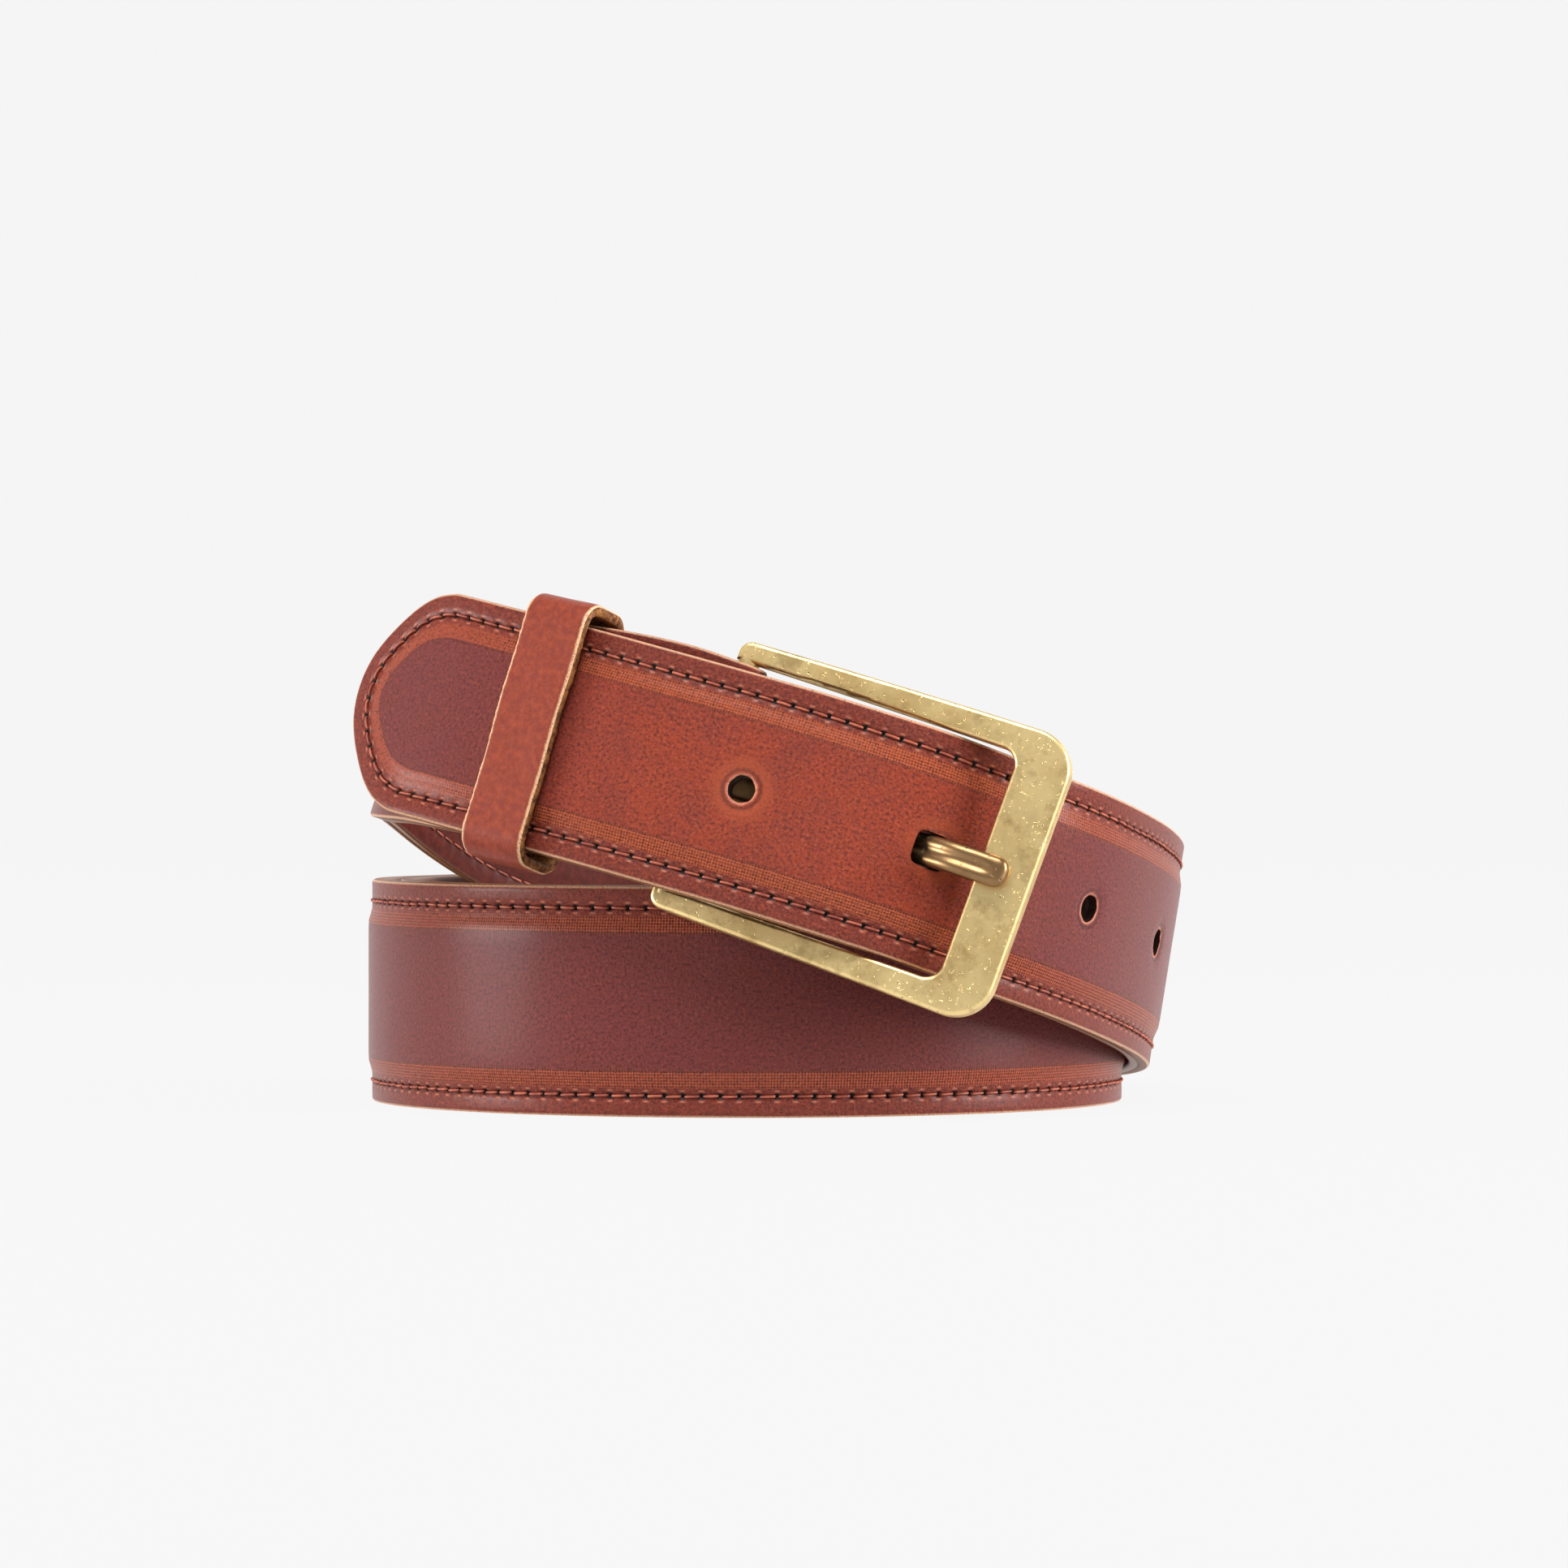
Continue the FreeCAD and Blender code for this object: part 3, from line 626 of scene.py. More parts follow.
def prong_curve(count):
    """The prong's middle line and its outward normals, as (u, d) pairs."""
    line = np.array(PRONG_LINE)
    steps = np.linalg.norm(np.diff(line, axis=0), axis=1)
    knots = np.concatenate([[0.0], np.cumsum(steps)])
    at = np.linspace(0, knots[-1], count)
    u = hermite(knots, line[:, 0], smooth_slopes(knots, line[:, 0]), at)
    d = hermite(knots, line[:, 1], smooth_slopes(knots, line[:, 1]), at)
    middle = np.stack([u, d], axis=1)
    along = unit(np.gradient(middle, axis=0))
    return middle, np.stack([-along[:, 1], along[:, 0]], axis=1)


def prong_passage_cutter():
    """The room the prong takes in the strap, at rest and lifted."""
    middle, outward = prong_curve(60)
    half = PRONG_HALF_THICK + PRONG_ROOM
    back = middle - outward * half
    front = middle + outward * half
    turn, rise = math.cos(PRONG_LIFT_MOST), math.sin(PRONG_LIFT_MOST)
    lifted = [front[:, 0] * turn - front[:, 1] * rise, front[:, 0] * rise + front[:, 1] * turn]
    front = np.stack(lifted, axis=1)
    kept = (middle[:, 0] > 26.0) & (middle[:, 0] < 47.5)
    wide = PRONG_HALF_WIDE + PRONG_ROOM
    rings = []
    for low, high in zip(back[kept], front[kept]):
        ring = []
        for i in range(24):
            angle = 2 * math.pi * (i + 0.5) / 24
            over = math.copysign(abs(math.cos(angle)) ** 0.45, math.cos(angle))
            tall = math.copysign(abs(math.sin(angle)) ** 0.45, math.sin(angle))
            u, d = (low + high) / 2 + (high - low) / 2 * tall
            ring.append(on_buckle(u, over * wide, d))
        rings.append(ring)
    return make_cutter(rings)


def prong_section(half_wide, half_thick, groove):
    """Half-round edges, a flat worn top and a shallow groove along its middle."""
    top = [
        (1.0, 0.0),
        (0.98, 0.45),
        (0.86, 0.78),
        (0.66, 0.95),
        (0.42, 1.0),
        (0.24, 1.0 - groove * 0.45),
        (0.0, 1.0 - groove),
    ]
    top += [(-v, d) for v, d in top[-2::-1]]
    low = [(-0.95, -0.6), (-0.7, -0.95), (-0.3, -1.0), (0.3, -1.0), (0.7, -0.95), (0.95, -0.6)]
    return [(v * half_wide, d * half_thick) for v, d in top + low]


def prong_piece(material):
    """A brass strip curled round the heel bar that thickens into the blade."""
    middle, outward = prong_curve(110)
    kept = middle[:, 0] > 9.0
    middle, outward = middle[kept], outward[kept]
    curl_radius = BAR_RADIUS + 0.1 + CURL_HALF_THICK
    angles = np.radians(np.linspace(300, 95, 26))
    curl = np.stack([curl_radius * np.cos(angles), curl_radius * np.sin(angles)], axis=1)
    joins = np.array([(1.6, 2.25), (3.2, 1.55), (4.8, 0.8), (6.6, 0.15), (8.0, -0.18)])
    line = np.concatenate([curl, joins, middle])
    along = unit(np.gradient(line, axis=0))
    normals = np.stack([-along[:, 1], along[:, 0]], axis=1)
    length = PRONG_LINE[-1][0]
    rings = []
    for i, (point, normal) in enumerate(zip(line, normals)):
        grown = ease((i - len(curl)) / 7.0)
        thick = CURL_HALF_THICK + (PRONG_HALF_THICK - CURL_HALF_THICK) * grown
        end = np.clip((length - point[0]) / 1.9, 0.0, 1.0) if i > len(curl) + 10 else 1.0
        shrink = math.sqrt(max(1 - (1 - end) ** 2, 0.012))
        groove = 0.34 * ease((point[0] - 30.0) / 6.0) * ease((length - 1.6 - point[0]) / 2.5)
        wide = PRONG_HALF_WIDE * (0.3 + 0.7 * shrink)
        section = prong_section(wide, thick * (0.45 + 0.55 * shrink), groove)
        ring = []
        for v, d in section:
            u, height = point + normal * d
            ring.append(on_buckle(u, v, height))
        rings.append(ring)
    points = np.array(rings).reshape(-1, 3)
    faces = tube_faces(len(rings), len(rings[0]))
    return make_piece("prong_blade", points, faces, {}, material, "prong", ["prong"])


# ------------------------------------------------------------------------ keeper
KEEPER_TO_HEEL = 26.5
KEEPER_HALF_LONG = 5.3
KEEPER_THICK = 1.8
KEEPER_INSIDE_HALF = 18.9
KEEPER_FRONT = 4.7
KEEPER_BACK = 5.0
KEEPER_ROUND = 2.4
KEEPER_SEAM = 0.2
STAPLE_SPACING = 2.6
STAPLE_HALF_LONG = 4.0
# Which way each end of a staple faces, from its tip to its straight middle: along, out
STAPLE_BENDS = [(1, 0), (1, 0), (0.7, 0.7), (0, 1)]


def keeper_axes():
    """Middle of the keeper between the two layers of strap, and its three directions."""
    point, across, out = [row[0] for row in ROUTE.at(np.array([HEEL - KEEPER_TO_HEEL]))]
    along = np.cross(across, out)
    places = np.arange(10.0, 60.5, 0.5)
    points, others, outs = ROUTE.at(places)
    nearest = int(np.argmin(np.abs((points - point) @ along)))
    outer_along = np.cross(others[nearest], outs[nearest])
    middle = (point + points[nearest]) / 2
    forward = unit(along + outer_along)
    both = across + others[nearest]
    sideways = unit(both - forward * np.dot(both, forward))
    return middle, forward, sideways, np.cross(forward, sideways)


KEEPER_AXES = keeper_axes()


def on_keeper(x, y, z):
    middle, forward, sideways, out = KEEPER_AXES
    x, y, z = np.broadcast_arrays(x, y, z)
    return middle + forward * x[..., None] + sideways * y[..., None] + out * z[..., None]


def keeper_path(radius, half, front, back):
    """The loop from one side of its seam to the other: y, z and the outward direction."""
    corners = [(half - radius, -back + radius, -90), (half - radius, front - radius, 0)]
    corners += [(-half + radius, front - radius, 90), (-half + radius, -back + radius, 180)]
    seam = KEEPER_SEAM / 2
    path = [(y, -back, 0.0, -1.0) for y in np.linspace(seam, half - radius, 10)[:-1]]
    sides = [(front + back) - 2 * radius, 2 * (half - radius), (front + back) - 2 * radius]
    for number, (y, z, start) in enumerate(corners):
        for angle in np.radians(np.linspace(start, start + 90, 10)):
            cosine, sine = math.cos(angle), math.sin(angle)
            path.append((y + radius * cosine, z + radius * sine, cosine, sine))
        if number < 3:
            last = path[-1]
            steps = 90 if number == 1 else 16
            for share in np.linspace(0, 1, steps)[1:-1]:
                run = sides[number] * share
                path.append((last[0] - last[3] * run, last[1] + last[2] * run, last[2], last[3]))
    path += [(y, -back, 0.0, -1.0) for y in np.linspace(-half + radius, -seam, 10)[1:]]
    return np.array(path)


def keeper_piece(material):
    """A leather band round both strands, with softened, slightly frayed edges."""
    half_thick = KEEPER_THICK / 2
    path = keeper_path(
        KEEPER_ROUND + half_thick,
        KEEPER_INSIDE_HALF + half_thick,
        KEEPER_FRONT + half_thick,
        KEEPER_BACK + half_thick,
    )
    wide = KEEPER_HALF_LONG
    face = [(-wide, 0.45), (-wide + 0.12, 0.72), (-wide + 0.45, 0.88)]
    face += [(x, 0.9) for x in np.linspace(-wide + 0.9, wide - 0.9, 13)]
    face += [(wide - 0.45, 0.88), (wide - 0.12, 0.72), (wide, 0.45)]
    back = [(wide, -0.5), (wide - 0.3, -0.86)] + [(x, -0.9) for x in (4.4, 1.5, -1.5, -4.4)]
    back += [(-wide + 0.3, -0.86), (-wide, -0.5)]
    section = np.array(face + back)
    run = np.cumsum(np.concatenate([[0.0], np.linalg.norm(np.diff(path[:, :2], axis=0), axis=1)]))
    x = section[None, :, 0] + 0 * run[:, None]
    height = section[None, :, 1] + 0 * run[:, None]
    wobble = waves(run[:, None], np.sign(x) * 40, 12, [19.0, 7.0], 0.22)
    frayed = waves(run[:, None], section[None, :, 1] * 5, 14, [1.6, 0.9], 0.16)
    x = x + (wobble + frayed) * np.clip(np.abs(x) / wide, 0, 1) ** 4 * np.sign(x)
    on_face = np.abs(section[None, :, 0]) < wide - 0.5
    raised = waves(run[:, None], x, 13, [12.0, 5.0], 0.09) * on_face
    height = height + np.clip(raised, -0.1, 0.1) * (section[None, :, 1] > 0.8)
    y = path[:, None, 0] + path[:, None, 2] * height
    z = path[:, None, 1] + path[:, None, 3] * height
    points = on_keeper(x, y, z).reshape(-1, 3)
    inset = np.broadcast_to(wide - np.abs(section[None, :, 0]), x.shape)
    raw = np.broadcast_to(((inset < 0.05) | (section[None, :, 1] < -0.6)), x.shape).astype(float)
    layers = {
        "plan": per_point(run[:, None], x),
        "edge": per_point(inset, FAR_FROM_NEEDLE),
        "kind": per_point(raw, FAR_FROM_HOLE),
    }
    faces = tube_faces(len(path), len(section))
    return make_piece(
        "keeper_band", points, faces, layers, material, "keeper", ["keeper_loop"]
    )


def keeper_staples(material):
    """Two flat wires across the seam, their ends bent into the leather."""
    points, faces = [], []
    low = -KEEPER_BACK - KEEPER_THICK - 0.02
    reach = STAPLE_HALF_LONG
    path = [(-reach, 0.3), (-reach, -0.1), (-reach + 0.15, -0.22), (-reach + 0.5, -0.27)]
    path += [(0.0, -0.27)] + [(-y, z) for y, z in path[::-1]]
    for side in (-1, 1):
        first = len(points)
        for number, (y, z) in enumerate(path):
            from_end = min(number, len(path) - 1 - number)
            bend = STAPLE_BENDS[min(from_end, len(STAPLE_BENDS) - 1)]
            lean = -1 if number < len(path) / 2 else 1
            for i in range(8):
                angle = 2 * math.pi * (i + 0.5) / 8
                over, thick = 0.6 * math.cos(angle), 0.25 * math.sin(angle)
                x = side * STAPLE_SPACING + over
                spot = (x, y + lean * bend[0] * thick, low + z + bend[1] * thick)
                points.append(on_keeper(*[np.array(value) for value in spot]))
        faces += tube_faces(len(path), 8, first=first)
    return make_piece(
        "keeper_wires", points, faces, {}, material, "keeper", ["keeper_staples"]
    )


# --------------------------------------------------------------------- stitches
# One stitch's thread: how far along it, then its height over the leather's face
STITCH_PROFILE = np.array([
    (0.26, -0.50),
    (0.30, -0.22),
    (0.42, -0.06),
    (0.80, 0.06),
    (1.40, 0.10),
    (2.00, 0.06),
    (2.38, -0.06),
    (2.50, -0.22),
    (2.54, -0.50),
])
STITCH_ALONG, STITCH_LIFT = np.hsplit(STITCH_PROFILE, 2)
THREAD_SIDES = 7
THREAD_TURNS = (2 * math.pi * np.arange(THREAD_SIDES) / THREAD_SIDES)[None, :]
FOLD_THREAD = 1.3 * THREAD_RADIUS
FOLD_SEAMS = (11.5, 15.0)


def edge_stitches(name, end, face, outward, material, node):
    """Separate stitches down both edges and round the tip, each dipping into its holes."""
    count = int(run_of(end) / STITCH_PITCH) - 1
    points, faces = [], []
    for side in (-1, 1):
        for number in range(-1 if side > 0 else 0, count):
            start = (number + 0.5) * STITCH_PITCH
            sway = RANDOM.uniform(-0.06, 0.06)
            thick = THREAD_RADIUS * RANDOM.uniform(0.92, 1.1)
            runs = start + STITCH_ALONG + 0 * THREAD_TURNS
            slant = 0.1 * (STITCH_ALONG / STITCH_PITCH - 0.5)
            inset = STITCH_INSET + sway + slant + thick * np.cos(THREAD_TURNS)
            height = face + outward * (STITCH_LIFT + thick * np.sin(THREAD_TURNS))
            flip = np.where(runs < 0, -side, side)
            place, across = border_point(np.abs(runs), inset, 1.0)
            spots = strap_surface(place, across * flip, height)
            faces += tube_faces(len(STITCH_PROFILE), THREAD_SIDES, first=len(points))
            points.extend(spots.reshape(-1, 3))
    return clean(make_piece(name, points, faces, {}, material, "strap", [node]))


def fold_stitches(material):
    """Two rows across the flap that close the fold behind the heel bar."""
    face = GRAIN_BACK + SKIVED_THICK
    points, faces = [], []
    for back in FOLD_SEAMS:
        for number in [*range(-5, -2), *range(2, 5)]:
            across = (number + STITCH_ALONG / STITCH_PITCH) * STITCH_PITCH + 0 * THREAD_TURNS
            place = HEEL + FOLD_LENGTH + back + FOLD_THREAD * np.cos(THREAD_TURNS) + 0 * across
            height = face + STITCH_LIFT + FOLD_THREAD * np.sin(THREAD_TURNS)
            faces += tube_faces(len(STITCH_PROFILE), THREAD_SIDES, first=len(points))
            points.extend(strap_surface(place, across, height).reshape(-1, 3))
    return clean(
        make_piece("fold_stitches", points, faces, {}, material, "strap", ["fold_stitching"])
    )


# --------------------------------------------------------------------- materials
def srgb(red, green, blue):
    """A colour from 0-255 display values, as the linear values the shader takes."""
    values = [channel / 255 for channel in (red, green, blue)]
    linear = [v / 12.92 if v <= 0.04045 else ((v + 0.055) / 1.055) ** 2.4 for v in values]
    return (*linear, 1.0)


LEATHER_GLOSS = 0.17
WAX = {"Coat_Weight": 0.5, "Coat_IOR": 1.22, "Coat_Roughness": 0.3}
HATCH_CELL = 0.45
NEEDLE_HALF_WIDE = 0.52
NEEDLE_HALF_LONG = 0.62
PANEL_COLOUR = srgb(108, 42, 40)
OUTER_PANEL_COLOUR = srgb(144, 52, 26)
PANEL_LIGHT = srgb(112, 42, 32)
PANEL_DARK = srgb(84, 26, 22)
BAND_COLOUR = srgb(146, 62, 38)
OUTER_BAND_COLOUR = srgb(164, 72, 38)
BAND_DARK = srgb(116, 44, 30)
MARGIN_COLOUR = srgb(104, 36, 24)
MARGIN_LIGHT = srgb(134, 52, 32)
# Painted shade for the stitch grooves, the crease line and the dish round each hole
RECESS_SHADE_COLOUR = srgb(52, 16, 12)
# Painted highlight, on the puckers beside the needle holes and on the rim of each punched hole
PALE_HIGHLIGHT_COLOUR = srgb(206, 128, 100)
# Painted shade in the needle holes
NEEDLE_HOLE_SHADE = srgb(14, 5, 4)
EDGE_WEAR_AND_HIGHLIGHT = srgb(206, 156, 122)
RAW_LIGHT = srgb(160, 108, 68)
RAW_DARK = srgb(98, 56, 34)
HOLE_WALL_SHADE = srgb(38, 15, 9)
SPECK_LIGHT = srgb(184, 88, 52)
SPECK_DARK = srgb(66, 20, 16)


class Shader:
    """A node material that is built by short calls."""

    def __init__(self, name):
        self.material = bpy.data.materials.new(name)
        self.material.use_nodes = True
        self.tree = self.material.node_tree
        self.surface = self.tree.nodes["Principled BSDF"]

    def put(self, socket, value):
        if isinstance(value, bpy.types.NodeSocket):
            self.tree.links.new(value, socket)
        else:
            socket.default_value = value

    def node(self, kind, inputs=None, **settings):
        node = self.tree.nodes.new(kind)
        for key, value in settings.items():
            setattr(node, key, value)
        for key, value in (inputs or {}).items():
            self.put(node.inputs[key], value)
        return node

    def math(self, operation, first, second=0.0):
        node = self.node("ShaderNodeMath", operation=operation)
        for socket, value in zip(node.inputs, (first, second)):
            self.put(socket, value)
        return node.outputs[0]

    def times(self, first, second):
        return self.math("MULTIPLY", first, second)

    def pair(self, layer):
        """The two numbers that a layer of the mesh carries."""
        found = self.node("ShaderNodeUVMap", uv_map=layer).outputs[0]
        split = self.node("ShaderNodeSeparateXYZ", {0: found})
        return split.outputs[0], split.outputs[1]

    def noise(self, scale, detail=4.0, roughness=0.55, vector=None, distortion=0.0):
        inputs = {"Scale": scale, "Detail": detail, "Roughness": roughness, "Distortion": distortion}
        node = self.node("ShaderNodeTexNoise", inputs)
        self.put(node.inputs["Vector"], vector or self.where())
        return node.outputs["Fac"]

    def where(self):
        return self.node("ShaderNodeTexCoord").outputs["Object"]

    def ramp(self, value, low, high):
        """0 below low, 1 above high."""
        node = self.node("ShaderNodeMapRange", interpolation_type="SMOOTHSTEP", clamp=True)
        for key, number in zip(("Value", "From Min", "From Max"), (value, low, high)):
            self.put(node.inputs[key], number)
        return node.outputs[0]

    def less(self, value, low, high):
        """1 below low, 0 above high."""
        return self.math("SUBTRACT", 1.0, self.ramp(value, low, high))

    def near(self, value, centre, width):
        """1 at centre, falling smoothly to 0 a width away."""
        away = self.math("ABSOLUTE", self.math("SUBTRACT", value, centre))
        return self.less(away, 0.0, width)

    def mix(self, share, first, second):
        node = self.node("ShaderNodeMix", data_type="RGBA")
        sockets = (node.inputs[0], node.inputs[6], node.inputs[7])
        for socket, value in zip(sockets, (share, first, second)):
            self.put(socket, value)
        return node.outputs[2]

    def bump(self, height, strength, distance, under=None):
        inputs = {"Height": height, "Strength": strength, "Distance": distance}
        node = self.node("ShaderNodeBump", inputs)
        if under is not None:
            self.put(node.inputs["Normal"], under)
        return node.outputs[0]

    def finish(self, colour, roughness, normal=None, **others):
        self.put(self.surface.inputs["Base Color"], colour)
        self.put(self.surface.inputs["Roughness"], roughness)
        if normal is not None:
            self.put(self.surface.inputs["Normal"], normal)
        for key, value in others.items():
            self.put(self.surface.inputs[key.replace("_", " ")], value)
        return self.material


class Leather(Shader):
    """A leather material that reads the measures its mesh carries, in millimetres."""

    def __init__(self, name):
        super().__init__(name)
        self.place, self.across = self.pair("plan")
        self.inset, self.from_needle = self.pair("edge")
        self.raw, self.from_hole = self.pair("kind")
        self.flat = self.plan()
        self.is_raw = self.ramp(self.raw, 0.35, 0.65)

    def plan(self, stretch=1.0):
        """A texture place from the flat plan."""
        joined = self.node("ShaderNodeCombineXYZ")
        self.put(joined.inputs[0], self.times(self.place, stretch))
        self.put(joined.inputs[1], self.across)
        return joined.outputs[0]

    def from_seam(self):
        return self.math("ABSOLUTE", self.math("SUBTRACT", self.inset, STITCH_INSET))

    def show_cuts(self, colour, fibre):
        """Raw fibre on the cut edges and painted shade on the walls of the punched holes."""
        colour = self.mix(self.is_raw, colour, fibre)
        # Painted shade on the walls of the punched holes
        return self.mix(self.ramp(self.raw, 1.3, 1.7), colour, HOLE_WALL_SHADE)

    def waxed(self, colour, roughness, normal):
        return self.finish(colour, roughness, normal, Specular_IOR_Level=LEATHER_GLOSS, **WAX)


def zone_colours(s, mottle, outer_stretch):
    """Colours of the padded panel, the crosshatched band and the stitched margin."""
    cloudy = s.noise(0.16, 5.0, 0.6, s.flat)
    panel = s.mix(outer_stretch, PANEL_COLOUR, OUTER_PANEL_COLOUR)
    panel = s.mix(s.times(s.ramp(cloudy, 0.4, 0.7), 0.5), panel, PANEL_LIGHT)
    panel = s.mix(s.times(s.ramp(mottle, 0.45, 0.75), 0.35), panel, PANEL_DARK)
    band = s.mix(outer_stretch, BAND_COLOUR, OUTER_BAND_COLOUR)
    band = s.mix(s.times(s.ramp(mottle, 0.4, 0.75), 0.4), band, BAND_DARK)
    margin = s.mix(s.ramp(mottle, 0.35, 0.75), MARGIN_COLOUR, MARGIN_LIGHT)
    return panel, band, margin


def stitch_marks(s, colour):
    """Painted shade in the stitch groove, painted highlights on the puckers and painted shade in a
    needle hole between stitches.
    """
    aside = s.from_seam()
    # Painted shade darkens the stitch groove
    colour = s.mix(s.times(s.near(aside, 0.34, 0.16), 0.12), colour, RECESS_SHADE_COLOUR)
    # Painted highlight on the puckers above and below each needle hole
    pucker_highlight = s.times(s.near(aside, 0.8, 0.3), s.near(s.from_needle, 0.0, 0.7))
    colour = s.mix(s.times(pucker_highlight, 0.6), colour, PALE_HIGHLIGHT_COLOUR)
    # Painted shade fills each needle hole
    wide = s.math("POWER", s.math("DIVIDE", aside, NEEDLE_HALF_WIDE), 2.0)
    long = s.math("POWER", s.math("DIVIDE", s.from_needle, NEEDLE_HALF_LONG), 2.0)
    needle = s.math("SQRT", s.math("ADD", wide, long))
    return s.mix(s.less(needle, 0.7, 1.25), colour, NEEDLE_HOLE_SHADE)


def hole_marks(s, colour, outer_stretch, fine):
    """Warmer leather, a ring of painted shade in the dish and a painted highlight on the rim round each
    punched hole.
    """
    around = s.times(s.near(s.from_hole, 3.6, 2.4), s.times(outer_stretch, 0.5))
    colour = s.mix(around, colour, OUTER_BAND_COLOUR)
    # Painted shade in the dish round each hole
    dish_shade = s.times(s.near(s.from_hole, HOLE_RADIUS + 0.85, 0.5), 0.45)
    colour = s.mix(dish_shade, colour, RECESS_SHADE_COLOUR)
    # Painted highlight on the rim of each hole
    rim_highlight = s.times(s.near(s.from_hole, HOLE_RADIUS + 0.12, 0.45), s.ramp(fine, 0.3, 0.55))
    return s.mix(rim_highlight, colour, PALE_HIGHLIGHT_COLOUR)


def hatching(s, in_band):
    """Crossed diagonal lines on the band, above 0 on their ridges."""
    cell = math.pi / HATCH_CELL
    rising = s.math("SINE", s.times(s.math("ADD", s.place, s.across), cell))
    falling = s.math("SINE", s.times(s.math("SUBTRACT", s.place, s.across), cell))
    return s.times(s.times(rising, falling), s.times(in_band, s.ramp(s.place, 12.0, 40.0)))


def grain_relief(s, fine, speck, hatch, in_panel):
    """The fine relief of the grain face: pores, specks, hatching, hole rims and wrinkles."""
    voronoi = {"Scale": 2.6, "Vector": s.flat}
    pores = s.node("ShaderNodeTexVoronoi", voronoi, feature="DISTANCE_TO_EDGE").outputs[0]
    wrinkle = s.noise(0.55, 4.0, 0.6, s.plan(3.0), 0.5)
    toward_heel = s.ramp(s.place, 980.0, 1110.0)
    wrinkle = s.times(s.times(wrinkle, in_panel), s.math("ADD", 0.35, toward_heel))
    normal = s.bump(fine, 0.9, 0.00016)
    normal = s.bump(speck, 0.9, 0.00035, normal)
    normal = s.bump(s.near(s.from_hole, HOLE_RADIUS + 0.4, 1.0), 0.8, 0.0004, normal)
    normal = s.bump(s.ramp(pores, 0.0, 0.12), 0.4, 0.00005, normal)
    normal = s.bump(hatch, 0.9, 0.0001, normal)
    normal = s.bump(wrinkle, 0.6, 0.0003, normal)
    return s.bump(s.times(s.is_raw, s.noise(1500.0, 3.0, 0.8)), 0.8, 0.0002, normal)


def grain_leather():
    """Smooth waxed leather: maroon middle, lighter crosshatched band, stitched margin."""
    s = Leather("grain_leather")
    mottle = s.noise(1.1, 6.0, 0.7, s.flat)
    fine = s.noise(3.4, 5.0, 0.75, s.flat)
    speck = s.noise(2.0, 3.0, 0.7, s.flat)
    # The outermost stretch, from the tip to the buckle, is coloured brighter and more orange
    outer_stretch = s.times(s.ramp(s.place, 22.0, 60.0), s.less(s.place, 104.0, 128.0))
    in_band = s.times(s.ramp(s.inset, 4.2, 4.9), s.less(s.inset, 6.7, 7.5))
    in_panel = s.ramp(s.inset, 6.7, 7.5)

    panel, band, margin = zone_colours(s, mottle, outer_stretch)
    colour = s.mix(in_panel, s.mix(in_band, margin, band), panel)
    light_specks = s.times(s.ramp(speck, 0.54, 0.68), s.math("ADD", 0.22, s.times(outer_stretch, 0.2)))
    colour = s.mix(light_specks, colour, SPECK_LIGHT)
    colour = s.mix(s.times(s.less(speck, 0.36, 0.5), 0.75), colour, SPECK_DARK)
    # Painted shade along the crease between band and panel
    crease = s.times(s.near(s.inset, CREASE_INSET, 0.28), s.ramp(fine, 0.3, 0.55))
    colour = s.mix(s.times(crease, 0.55), colour, RECESS_SHADE_COLOUR)
    colour = stitch_marks(s, colour)
    colour = hole_marks(s, colour, outer_stretch, fine)
    # Worn edge and painted highlight: a pale patchy line along the rounded edge of the grain face
    worn = s.times(s.less(s.inset, 0.18, 0.5), s.ramp(fine, 0.32, 0.5))
    colour = s.mix(worn, colour, EDGE_WEAR_AND_HIGHLIGHT)
    fibre = s.mix(s.ramp(s.noise(2200.0, 5.0, 0.8), 0.3, 0.7), RAW_DARK, RAW_LIGHT)
    colour = s.show_cuts(colour, fibre)
    hatch = hatching(s, in_band)
    colour = s.mix(s.times(s.ramp(hatch, 0.1, 0.6), 0.55), colour, SPECK_LIGHT)
    colour = s.mix(s.times(s.ramp(s.times(hatch, -1.0), 0.1, 0.6), 0.5), colour, SPECK_DARK)

    rough = s.math("ADD", 0.31, s.times(mottle, 0.18))
    rough = s.math("ADD", rough, s.times(s.is_raw, 0.4))
    return s.waxed(colour, rough, grain_relief(s, fine, speck, hatch, in_panel))


def lining_leather():
    """Plain brown lining with a soft sheen, stitched down both edges."""
    s = Leather("lining_leather")
    mottle = s.noise(0.7, 6.0, 0.7, s.flat)
    fine = s.noise(4.0, 5.0, 0.75, s.flat)
    colour = s.mix(s.ramp(mottle, 0.35, 0.7), srgb(68, 20, 13), srgb(92, 30, 19))
    # Painted shade in the lining's stitch groove
    groove = s.times(s.near(s.from_seam(), 0.34, 0.16), 0.5)
    colour = s.mix(groove, colour, RECESS_SHADE_COLOUR)
    worn = s.times(s.less(s.inset, 0.15, 0.45), 0.3)
    colour = s.mix(worn, colour, RAW_LIGHT)
    fibre = s.mix(s.ramp(s.noise(2200.0, 5.0, 0.8), 0.3, 0.7), srgb(92, 50, 30), srgb(146, 96, 60))
    colour = s.show_cuts(colour, fibre)
    normal = s.bump(fine, 0.4, 0.00008)
    normal = s.bump(s.noise(1.3, 4.0, 0.6, s.flat), 0.25, 0.0002, normal)
    return s.waxed(colour, s.math("ADD", 0.45, s.times(mottle, 0.15)), normal)


